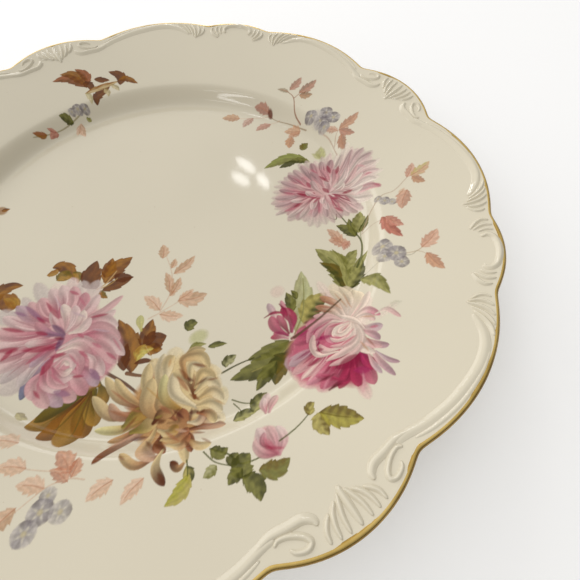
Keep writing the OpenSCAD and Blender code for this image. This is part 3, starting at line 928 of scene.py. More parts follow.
def paint_pink_flower(p):
    p.group = GROUP["pink_chrysanthemum"]
    soft = dict(soft=1.5, strength=0.7, dark_side=0.1, streak=0.06)
    p.petals(PINKS, [
        (-52, -16, -53.4, 3.5, 0.0, 6.5, "grey", "grey"),
        (-49, -14, -47, -1, 0.0, 7, "pale", "cream"),
        (-57, -14, -59.5, -0.5, 0.0, 4.5, "mauve", "grey"),
        (-43, -14, -41, -2, 0.0, 6, "blush", "pale"),
        (-41, -15, -37.5, -6, 0.0, 5.5, "pale", "grey"),
        (-39, -17, -32.5, -9, 0.0, 6, "pale", "grey"), (-62, -12, -70, -2, 0.0, 7, "mauve", "grey"),
        (-64, -17, -76, -7, 0.0, 7, "blush", "pale"), (-64, -28, -78, -27, 0.0, 9, "mauve", "grey"),
        (-62, -33, -76, -34, 0.0, 8, "mauve", "grey"),
    ], **soft)
    p.blob(-55, -21, 36, 30, PINKS["blush"], soft=3)
    p.blob(-50, -37, 31, 24, PINKS["pink"], soft=2.5)
    crisp = dict(soft=0.55, strength=0.92, dark_side=0.26, streak=0.09, streaks=1.4, rim=0.05,
                 shadow=0.34)
    # Broad petals raying from the upper heart, longest toward the rim
    p.petals(PINKS, [
        (-57, -31, -70.6, -40.4, -0.12, 4.6, "mauve", "blue"),
        (-57, -29, -70, -35.4, -0.10, 5.4, "blush", "grey"),
        (-57, -27.6, -75, -30.6, -0.06, 5.6, "pink", "grey"),
        (-57, -25.6, -76.4, -25.6, -0.02, 5.4, "rose", "pale"),
        (-57, -24, -76.4, -20.4, 0.02, 5.4, "rose", "blush"),
        (-56, -22.4, -75.6, -15, 0.04, 5.2, "pink", "pale"),
        (-55.6, -21, -73, -9.6, 0.05, 5.2, "rose", "blush"),
        (-55, -19.6, -68, -5, 0.06, 5.2, "pink", "pale"),
        (-54.4, -18, -62.6, -3, 0.06, 5.0, "pink", "mauve"),
        (-53.4, -17, -58, -4, 0.08, 5.0, "rose", "blush"),
        (-52.2, -16.4, -53.6, -4.6, 0.10, 5.4, "pink", "blush"),
        (-50.6, -16.4, -49.4, -2.6, -0.08, 5.6, "rose", "pale"),
        (-49.4, -17, -45.2, -3.4, -0.10, 5.6, "pink", "pale"),
        (-48.2, -18, -41.6, -6.4, -0.14, 5.2, "blush", "blush"),
        (-47.2, -19, -38.6, -11.6, -0.16, 5.0, "pink", "pink"),
        (-46.6, -20.4, -34.4, -15.6, -0.12, 4.6, "blush", "pale"),
        (-45.6, -22, -27, -21.2, -0.10, 3.4, "blush", "blush"),
        (-46, -23.4, -31.6, -25.6, -0.16, 4.6, "pink", "pale"),
    ], hairs=2, **crisp)
    # Petals that droop round the lower rosette
    p.curls(PINKS, [
        (-48, -25, -38, -26, -33.4, -32.6, 4.6, "rose", "pale"),
        (-48, -27, -39, -29, -34.6, -38, 4.6, "pink", "blush"),
        (-48, -29, -40, -32, -35.6, -44.6, 4.6, "rose", "pale"),
        (-49, -31, -42, -36, -39.4, -46, 4.8, "pink", "blush"),
        (-50, -35, -45.4, -40, -44.6, -47.6, 4.6, "rose", "pale"),
        (-52, -38, -48.6, -44, -47.4, -50, 4.6, "rose", "mauve"),
        (-54, -40, -52.6, -46, -51.6, -50.6, 5.0, "blush", "pink"),
        (-57, -40, -57.6, -46, -55, -50.6, 4.8, "rose", "blush"),
        (-59, -38, -61.6, -44, -59.4, -50, 4.6, "pink", "mauve"),
        (-60, -36, -65, -41, -63.6, -48, 4.6, "rose", "blush"),
        (-60.6, -34.6, -66, -37, -67.4, -42.6, 4.0, "pink", "blush"),
    ], **crisp)
    p.petals(PINKS, [
        (-52, -24.6, -58.4, -14, 0.12, 4.0, "violet", "pink"),
        (-50.8, -24, -52, -12.4, 0.08, 3.6, "pink", "pale"),
        (-50.2, -24, -47.6, -12, -0.10, 4.4, "blush", "cream"),
        (-49.8, -24.2, -43.8, -15, -0.14, 4.2, "pale", "pale"),
        (-49.6, -24.8, -41.6, -19, -0.18, 4.0, "blush", "cream"),
        (-49.2, -25.4, -40.6, -23.4, -0.20, 3.8, "cream", "pale"),
        (-53, -25.6, -64, -20.6, 0.06, 4.0, "rose", "pale"),
        (-53.6, -27, -66.4, -25.4, 0.0, 3.8, "red", "blush"),
        (-54, -28, -65, -30.4, -0.05, 3.8, "rose", "mauve"),
    ], hairs=1, **crisp)
    # The lower rosette, wound round its heart
    p.curls(PINKS, [
        (-54, -29, -46.6, -30, -42.6, -36, 3.4, "pale", "blush"),
        (-55, -30.4, -48, -32, -45.6, -39.6, 3.4, "cream", "pink"),
        (-61, -33, -62.4, -39, -58.4, -45, 3.4, "rose", "pale"),
        (-59.4, -34, -60, -40, -55.6, -44.6, 3.2, "pink", "blush"),
        (-57, -33, -51, -33, -49.4, -38, -51.6, -43, 3.2, "pale", "pink"),
        (-58.4, -35, -57.6, -40.6, -53, -42, 3.0, "rose", "pale"),
        (-57.4, -35, -53.6, -33.6, -51.6, -36.6, -53, -40, 2.8, "blush", "pale"),
        (-57, -36.4, -55.4, -39.4, -52.6, -39, 2.4, "pink", "cream"),
        (-56.4, -36.6, -54.2, -35.4, -53.2, -37.4, 1.8, "blush", "cream"),
        (-47, -36, -45.6, -40, -47.6, -44.6, 2.6, "pale", "blush"),
    ], **crisp)
    p.shadows(PINKS, [
        (-52.6, -7.5, -50.8, -17.5, 1.9, "crimson"), (-59.8, -4.5, -55.8, -15.5, 2.3, "violet"),
        (-57.4, -12, -55.4, -16.4, 1.5, "crimson"), (-69.6, -9.4, -62.8, -15.6, 1.9, "crimson"),
        (-74.5, -17.4, -66, -21, 2.0, "crimson"), (-73, -22.6, -68, -20.4, 2.2, "crimson"),
        (-71, -20.2, -66.4, -21.4, 1.8, "crimson"), (-59.4, -18, -56, -21.6, 1.9, "crimson"),
        (-65.6, -22.6, -54.6, -28.4, 3.0, "crimson"), (-66, -28.6, -58, -27.2, 1.8, "red"),
        (-53.6, -18.4, -50.6, -25.4, 2.8, "plum"), (-50.8, -24.6, -55.6, -29.6, 2.6, "plum"),
        (-54.4, -24, -51.6, -26.6, 1.6, "wine"), (-46.8, -27, -45.4, -30, 1.5, "red"),
        (-40.6, -23.4, -34.6, -25.6, 1.3, "crimson"), (-43.6, -7.6, -41, -11.4, 1.6, "red"),
        (-41.4, -12, -40.6, -17.6, 1.2, "rose"), (-48, -28, -39.5, -30.6, 0.9, "rose"),
        (-41.5, -28.6, -36.6, -33, 1.0, "mauve"), (-62.6, -35.6, -56.6, -31, 3.4, "crimson"),
        (-58, -30.6, -52.6, -32.6, 2.0, "crimson"), (-48.6, -34, -46.6, -38, 1.7, "red"),
        (-43.6, -33.6, -41.4, -37.4, 1.5, "rose"), (-51.8, -33.4, -50.4, -39.6, 1.2, "rose"),
        (-60.6, -43.6, -56, -48, 2.6, "violet"), (-47.6, -42.6, -46, -48.6, 2.8, "violet"),
        (-66, -39.6, -65, -43.4, 1.4, "crimson"), (-53.6, -42, -50.2, -44, 1.3, "crimson"),
        (-59.6, -37, -56.6, -43.6, 1.2, "rose"), (-40.6, -40, -38.6, -44.6, 1.4, "red"),
        (-36.6, -36, -36, -42.4, 0.9, "rose"), (-64, -5, -60.4, -9.4, 1.6, "violet"),
        (-45.6, -17.4, -42, -22.4, 0.8, "mauve"), (-49.2, -7, -48.4, -16, 0.8, "mauve"),
    ])


TANS = {
    "cream": (214, 198, 160), "straw": (204, 182, 134), "sand": (194, 166, 116),
    "tan": (178, 138, 92), "ochre": (164, 126, 66), "rust": (148, 96, 66),
    "brown": (120, 72, 44), "umber": (92, 52, 34), "dark": (78, 34, 30), "olive": (140, 124, 62),
    "lemon": (206, 196, 140), "dust": (186, 150, 122),
}


def paint_tan_flower(p):
    p.group = GROUP["tan_chrysanthemum"]
    soft = dict(soft=1.6, strength=0.8, dark_side=0.1, streak=0.08)
    p.petals(TANS, [
        (-24, -60, -19, -52, 0.0, 7, "straw", "cream"),
        (-18, -60, -12.5, -57, 0.0, 6, "cream", "sand"),
        (-28, -60, -28, -51.5, 0.0, 6, "straw", "straw"),
        (-14, -68, -10.4, -66, 0.0, 7, "cream", "cream"),
        (-16, -75, -12, -78, 0.0, 7, "lemon", "cream"),
        (-22, -80, -16.4, -84, 0.0, 6, "straw", "cream"),
    ], **soft)
    p.blob(-30, -70, 26, 26, TANS["tan"], soft=3)
    p.blob(-20, -68, 17, 24, TANS["straw"], soft=2.5)
    crisp = dict(soft=0.4, strength=0.96, dark_side=0.42, streak=0.10, streaks=1.4, rim=0.10,
                 shadow=0.5)
    # Long strap petals to the left, twisting at their tips
    p.curls(TANS, [
        (-36.5, -67, -42.6, -58, -44, -48.6, 3.8, "rust", "straw"),
        (-36.6, -66.6, -40.4, -58, -41.4, -51, 3.0, "tan", "straw"),
        (-38, -67, -47, -62, -50, -52.6, 4.0, "rust", "straw"),
        (-38.6, -68, -45, -63.6, -46, -58, 3.4, "rust", "dust"),
        (-38, -69.4, -46, -68, -53.2, -63.6, 3.0, "ochre", "lemon"),
        (-40, -70.4, -46, -71, -50.6, -69.6, 2.6, "rust", "tan"),
        (-38, -72.6, -47, -73, -54.4, -75.4, 3.0, "dust", "brown"),
        (-37.6, -84, -44, -83, -47.2, -76.6, 2.8, "rust", "sand"),
        (-36.6, -74, -41.4, -79, -38.6, -84.6, 4.0, "sand", "dust"),
        (-35, -76, -37.4, -80, -35.6, -84.4, 3.0, "umber", "rust"),
        (-36, -83, -39.4, -87, -38.8, -92.8, 3.0, "straw", "umber"),
        (-31.4, -90, -34, -90.6, -35, -87.6, 2.4, "tan", "umber"),
        (-33.6, -79, -30.6, -84, -31.4, -90.6, 3.2, "sand", "straw"),
        (-29.6, -78, -28.4, -84, -29, -88.6, 3.0, "brown", "rust"),
        (-29, -83, -26.6, -88, -23, -89.6, 2.6, "tan", "straw"),
        (-28, -80, -22, -82.6, -17, -86, 3.2, "brown", "dust"),
        (-26, -79, -21.6, -80.4, -17.6, -83, 2.8, "rust", "cream"),
    ], **crisp)
    # Broad petals over the middle of the flower
    p.curls(TANS, [
        (-36, -66, -33, -58, -29.4, -52.4, 4.0, "straw", "straw"),
        (-31, -66, -28, -58.6, -23.6, -52, 4.4, "straw", "cream"),
        (-27.6, -62, -24, -56, -21, -54.6, 4.4, "cream", "straw"),
        (-45, -67.6, -40, -66.4, -35.6, -68.6, 4.4, "olive", "ochre"),
        (-43.6, -70.6, -39, -71.6, -34, -70.6, 4.4, "olive", "sand"),
        (-33.6, -73, -36, -66, -30.6, -58, 5.4, "tan", "straw"),
        (-30, -75, -32.4, -68.6, -29.4, -64, 3.6, "rust", "sand"),
        (-26.6, -74, -30, -67, -26.6, -59, 4.0, "ochre", "lemon"),
        (-22.6, -75, -26.4, -67, -23.6, -60, 4.2, "cream", "cream"),
        (-21.6, -72, -20.2, -65, -24, -60, 4.0, "brown", "straw"),
        (-36.6, -72, -33, -70.6, -30, -73, 3.4, "umber", "tan"),
        (-32.4, -75, -29, -77, -26.4, -73, 4.4, "tan", "rust"),
        (-36, -75, -33.6, -77.8, -30, -77, 3.6, "straw", "ochre"),
        (-36, -78.6, -32, -81.4, -27.6, -79.4, 3.6, "sand", "rust"),
        (-34.6, -82, -31, -84.8, -28, -82, 3.0, "straw", "rust"),
        (-27, -78, -24, -79.6, -21, -78, 2.6, "cream", "dust"),
    ], **crisp)
    # Pale petals curled to the right
    p.curls(TANS, [
        (-20, -58.6, -15, -56.6, -10.6, -58.8, 2.6, "sand", "straw"),
        (-21, -64, -19, -57.8, -13, -60, -12.8, -65.6, 3.6, "tan", "straw"),
        (-20.4, -66.6, -17.4, -61.6, -14.4, -66, 3.2, "straw", "cream"),
        (-20, -69, -15.4, -65.6, -12.6, -70, 3.2, "sand", "straw"),
        (-20.6, -70.6, -15.4, -69.4, -13, -74, 3.6, "straw", "cream"),
        (-20.6, -73, -15.6, -73.4, -14, -78, 3.6, "sand", "cream"),
        (-22, -75, -18, -76.6, -16, -81, 3.6, "straw", "cream"),
        (-23, -77, -20, -79.4, -19.6, -83, 3.2, "rust", "straw"),
    ], **crisp)
    p.shadows(TANS, [
        (-21.6, -60, -20.4, -66.4, 2.4, "brown"), (-20.6, -64.6, -19.4, -66.8, 1.6, "dark"),
        (-23.4, -62, -22.4, -69, 2.4, "rust"), (-17, -61, -13.2, -64.6, 1.8, "brown"),
        (-19.6, -68.4, -15, -68.2, 1.4, "umber"), (-15.4, -69, -12, -70.4, 1.0, "brown"),
        (-22.6, -70, -20.6, -73.6, 1.8, "brown"), (-25.6, -75.4, -22.4, -76.6, 2.2, "dark"),
        (-26.4, -78, -24, -74.6, 1.8, "dark"), (-22.4, -77.4, -20.4, -77.2, 1.4, "umber"),
        (-29.4, -71.6, -27.6, -76, 1.6, "dark"), (-30.6, -73.4, -27.4, -72.4, 1.3, "umber"),
        (-32.6, -68, -30.4, -72.4, 2.0, "rust"), (-36.6, -71.8, -32.6, -73.4, 2.4, "umber"),
        (-35.4, -70.8, -33, -71.4, 1.2, "olive"), (-44.4, -73, -39.6, -75, 2.2, "dark"),
        (-40.4, -76, -38.4, -81.4, 1.6, "umber"), (-38.4, -78.6, -35.4, -83.4, 2.2, "umber"),
        (-34.4, -76.6, -31.4, -82.6, 1.8, "rust"), (-31.4, -77.6, -28.6, -80.4, 1.5, "dust"),
        (-29.6, -84, -28.4, -88.4, 2.0, "umber"), (-35.4, -87.6, -33.4, -89.4, 1.6, "umber"),
        (-39.2, -88.4, -38.6, -92.6, 2.2, "umber"), (-54.4, -75.6, -51, -74.6, 2.0, "brown"),
        (-45.6, -69, -40, -67, 1.6, "brown"), (-42.4, -62, -38.4, -66.4, 1.4, "rust"),
        (-46.8, -60.4, -42.6, -65.4, 1.6, "rust"), (-44, -54, -40.6, -61.6, 1.2, "rust"),
        (-50.6, -71.6, -46, -72.2, 1.2, "dust"), (-47.4, -77.4, -46.2, -79.6, 1.0, "brown"),
        (-27, -82, -23.6, -84.6, 1.3, "brown"), (-25, -86, -23, -89.4, 0.9, "brown"),
        (-24.4, -57.4, -22.4, -55, 1.4, "tan"), (-33.6, -60, -31.6, -66, 0.8, "ochre"),
        (-24.6, -80.6, -20.6, -83, 0.9, "rust"), (-16.4, -76.4, -14.4, -79.4, 0.7, "tan"),
    ], thin=0.66)


MAGENTAS = {
    "cream": (218, 200, 182), "blush": (212, 182, 170), "pale": (206, 164, 158),
    "pink": (196, 132, 140), "rose": (180, 96, 112), "red": (162, 56, 82),
    "magenta": (150, 46, 84), "deep": (126, 28, 58), "wine": (98, 22, 44), "mauve": (168, 134, 138),
    "butter": (218, 202, 172), "tan": (176, 130, 98), "brown": (142, 84, 66),
    "lilac": (186, 160, 160),
}


def paint_magenta_flower(p):
    p.group = GROUP["magenta_chrysanthemum"]
    soft = dict(soft=1.6, strength=0.75, dark_side=0.1, streak=0.08)
    p.petals(MAGENTAS, [
        (40, -76, 47, -66, 0.0, 8, "cream", "butter"),
        (39, -72, 43, -62, 0.0, 6, "cream", "butter"), (38, -70, 39, -58, 0.0, 4, "blush", "cream"),
        (40, -80, 48, -76, 0.0, 6, "cream", "cream"), (20, -84, 9.6, -79, 0.0, 8, "rose", "lilac"),
        (20, -89, 8.6, -90, 0.0, 8, "rose", "pale"), (25, -98, 22.6, -106, 0.0, 4, "rose", "blush"),
        (22, -92, 12, -95, 0.0, 6, "rose", "pale"), (44, -86, 53, -85, 0.0, 2.4, "cream", "cream"),
    ], **soft)
    p.blob(21, -85, 22, 24, MAGENTAS["rose"], soft=4)
    p.blob(25.5, -94, 13, 14, MAGENTAS["red"], soft=4)
    p.blob(26, -77, 20, 13, MAGENTAS["rose"], soft=4)
    p.blob(38, -78, 14, 16, MAGENTAS["cream"], soft=4)
    smooth = dict(soft=0.6, strength=0.9, dark_side=0.26, streak=0.10, streaks=1.6, shadow=0.25)
    # Broad shaded petals on the left and below
    p.petals(MAGENTAS, [
        (24, -79, 10.6, -80.4, 0.06, 4.4, "magenta", "lilac"),
        (24, -81.6, 10, -83.6, 0.05, 4.2, "red", "pale"),
        (25, -84, 11, -87.4, 0.08, 4.4, "magenta", "pale"),
        (25, -87, 10.4, -91, 0.10, 3.8, "red", "pink"),
        (27, -89, 13, -94.6, 0.12, 4.4, "deep", "rose"),
        (28, -91, 17.6, -98, 0.08, 4.0, "deep", "red"),
        (29, -91, 22.6, -101, 0.05, 5.4, "deep", "red"),
        (30, -92, 27, -103.4, 0.0, 5.4, "deep", "rose"),
        (31, -92, 31, -99.6, -0.04, 4.8, "magenta", "red"),
        (26, -78, 16.4, -74.6, -0.08, 4.0, "magenta", "rose"),
        (28, -76, 19.6, -71.8, -0.10, 4.2, "magenta", "rose"),
        (32, -75, 24, -71.4, -0.14, 3.4, "rose", "pink"),
        (15, -96.6, 21.6, -98, 0.10, 1.8, "wine", "red"),
        (20, -96, 14.6, -90, 0.0, 2.6, "red", "rose"),
    ], hairs=2, **smooth)
    p.curls(MAGENTAS, [
        (24, -84.4, 17, -86.2, 10.6, -87.8, 1.4, "blush", "cream"),
        (24, -87.6, 17, -88.6, 11.6, -90.2, 1.1, "pink", "pale"),
        (21, -92.4, 17, -93.6, 13.4, -95.6, 0.9, "rose", "pink"),
        (24, -80.4, 18, -79, 12, -78.4, 1.0, "pink", "lilac"),
        (27, -98, 25, -101, 22.4, -103.4, 1.0, "pink", "pale"),
    ], soft=0.8, strength=0.8, dark_side=0.1)
    crisp = dict(soft=0.4, strength=0.95, dark_side=0.30, streak=0.08, streaks=1.4, rim=0.06,
                 shadow=0.45)
    # The pale fan away from the viewer
    p.curls(MAGENTAS, [
        (38, -78, 42, -71, 40.6, -63.6, 3.6, "cream", "butter"),
        (38, -78, 44.6, -72, 44.4, -64.6, 3.6, "cream", "butter"),
        (38, -78.4, 46.4, -74, 48, -68.6, 3.4, "cream", "butter"),
        (38, -78, 38.6, -70, 35.6, -64, 3.2, "cream", "tan"),
        (37.6, -77.6, 35.6, -71, 31.6, -66.6, 3.0, "cream", "tan"),
        (37.4, -77.6, 33.6, -73, 28.6, -69.6, 2.8, "blush", "pale"),
        (38.4, -79, 44, -78, 50, -74.6, 2.6, "cream", "cream"),
        (38.4, -79.6, 43.4, -80.6, 45.4, -85.4, 3.0, "cream", "pink"),
        (38.2, -80.2, 42, -83, 42.6, -86, 2.4, "cream", "blush"),
        (44.4, -84, 48.6, -85, 49.8, -90.4, 1.9, "cream", "pale"),
    ], **crisp)
    # Short petals at the lower right, violet at their tips
    p.curls(MAGENTAS, [
        (37, -83, 38.6, -87, 43.4, -88.8, 3.6, "blush", "lilac"),
        (36.6, -86, 38.6, -90, 38.8, -92.6, 2.8, "pale", "mauve"),
        (36, -90, 37.6, -94, 39.8, -95.8, 2.6, "pale", "mauve"),
        (35, -92, 33.6, -98, 33.8, -105, 2.4, "pale", "mauve"),
        (35, -95, 36, -99.6, 38, -102.4, 1.8, "lilac", "mauve"),
        (32.6, -94, 31.4, -98, 31.2, -102, 2.0, "pale", "lilac"),
        (37, -84, 34.6, -90, 37.6, -95, 2.8, "cream", "pale"),
        (36.6, -84.4, 32, -89.4, 34.4, -95.4, 3.0, "cream", "cream"),
    ], **crisp)
    # Petals wound round the heart, from the outermost inward
    p.curls(MAGENTAS, [
        (37.8, -78.4, 33, -73.4, 25.6, -73.4, 20.6, -77, 2.6, "blush", "pink"),
        (37.6, -81, 35.4, -88.4, 27.6, -91.4, 20, -90, 2.4, "cream", "pale"),
        (37.4, -81.4, 33.6, -88, 27, -88.8, 20.6, -87.6, 2.6, "cream", "blush"),
        (37.8, -79, 33, -75.2, 26.4, -76, 22.4, -79.6, 2.4, "cream", "pink"),
        (25.6, -87.4, 21.6, -84, 21.4, -79.4, 24.6, -75.6, 2.6, "cream", "blush"),
        (27.4, -87.2, 24.2, -84, 24, -79.8, 2.6, "cream", "pale"),
        (37, -81.6, 33.4, -86.4, 28.4, -86.4, 26, -83, 2.4, "cream", "pale"),
        (37.4, -79.4, 32.6, -76.6, 28.6, -78.4, 27.6, -83, 2.4, "pale", "pink"),
        (37, -80.8, 33, -85, 29.4, -83.6, 28.6, -80, 2.0, "cream", "blush"),
        (37, -79.8, 33.6, -78, 30.6, -79.8, 32, -82.6, 36, -82, 1.8, "cream", "cream"),
        (36.4, -80.4, 34, -79.6, 32.6, -80.6, 34.6, -81.6, 1.4, "blush", "cream"),
        (37.8, -86, 38.4, -78, 36.6, -74, 2.0, "cream", "cream"),
    ], **crisp)
    p.shadows(MAGENTAS, [
        (23.6, -77.6, 29.6, -79.4, 1.9, "magenta"), (21.6, -81, 24, -82.2, 2.0, "deep"),
        (15.6, -84.2, 21.6, -85.4, 2.6, "deep"), (28, -86.2, 34, -86.4, 1.0, "red"),
        (31, -84.6, 35.4, -83.6, 0.7, "rose"), (30, -80.2, 30.4, -83.4, 1.2, "rose"),
        (33, -80.9, 36, -80.7, 0.8, "red"), (24, -74.6, 34, -74.4, 0.9, "magenta"),
        (31, -76.4, 36.4, -77.6, 0.8, "red"), (25.8, -81, 26, -85, 0.7, "rose"),
        (21.6, -92.6, 30.6, -93, 4.6, "deep"), (25, -96, 29.6, -99, 3.0, "magenta"),
        (14, -92.4, 20, -93.4, 1.2, "wine"), (17.6, -72.6, 24, -73.2, 1.6, "magenta"),
        (30.4, -68.2, 35.6, -71.6, 0.8, "brown"), (32.4, -66.8, 37.2, -71, 0.8, "brown"),
        (34.6, -65.2, 38.6, -70.4, 0.8, "brown"), (36.6, -64.4, 39.4, -73, 0.7, "tan"),
        (41.2, -66, 41.6, -73.4, 0.7, "tan"), (44, -68, 42.4, -75, 0.6, "tan"),
        (33.6, -89, 33.2, -93.6, 0.8, "tan"), (36, -88.6, 35.8, -93.6, 0.8, "brown"),
        (40, -81.6, 43.6, -84.6, 0.8, "tan"), (39.4, -87, 42, -88.2, 1.2, "rose"),
        (45, -76.6, 39, -78.4, 0.6, "pale"),
    ])
    p.stem([(18, -72.6), (30, -71.4), (41.6, -69.4)], 1.0, (92, 74, 52), strength=0.8)
    # The half-open bud behind the flower
    p.petals(MAGENTAS, [
        (16.4, -64, 17.6, -55.4, 0.0, 3.4, "pale", "lilac"),
        (19, -64, 22.4, -57, -0.08, 2.2, "rose", "pink"),
        (16, -71.6, 10.8, -68, -0.12, 2.6, "pink", "red"),
        (17, -71.4, 12.6, -67, -0.05, 2.2, "blush", "rose"),
        (16.6, -70.4, 15.6, -60.6, 0.16, 4.4, "magenta", "rose"),
        (18.6, -70, 20.4, -60, -0.22, 5.0, "magenta", "red"),
        (17.4, -70, 18, -61.6, 0.0, 3.4, "deep", "rose"),
        (13.2, -59.8, 20.6, -62.2, 0.14, 1.3, "deep", "red"),
        (21, -58, 20.6, -64, 0.08, 1.4, "deep", "red"),
    ], **smooth)
    p.blob(23.4, -53, 6, 5, MAGENTAS["pale"], soft=2.4, strength=0.30)


LILACS = {
    "cream": (220, 206, 190), "pale": (212, 188, 178), "blush": (204, 168, 160),
    "pink": (192, 142, 142), "rose": (174, 104, 112), "red": (152, 62, 78),
    "crimson": (134, 34, 54),
    "mauve": (168, 136, 134), "lilac": (184, 158, 152), "grey": (194, 176, 164),
    "shade": (150, 114, 112),
}


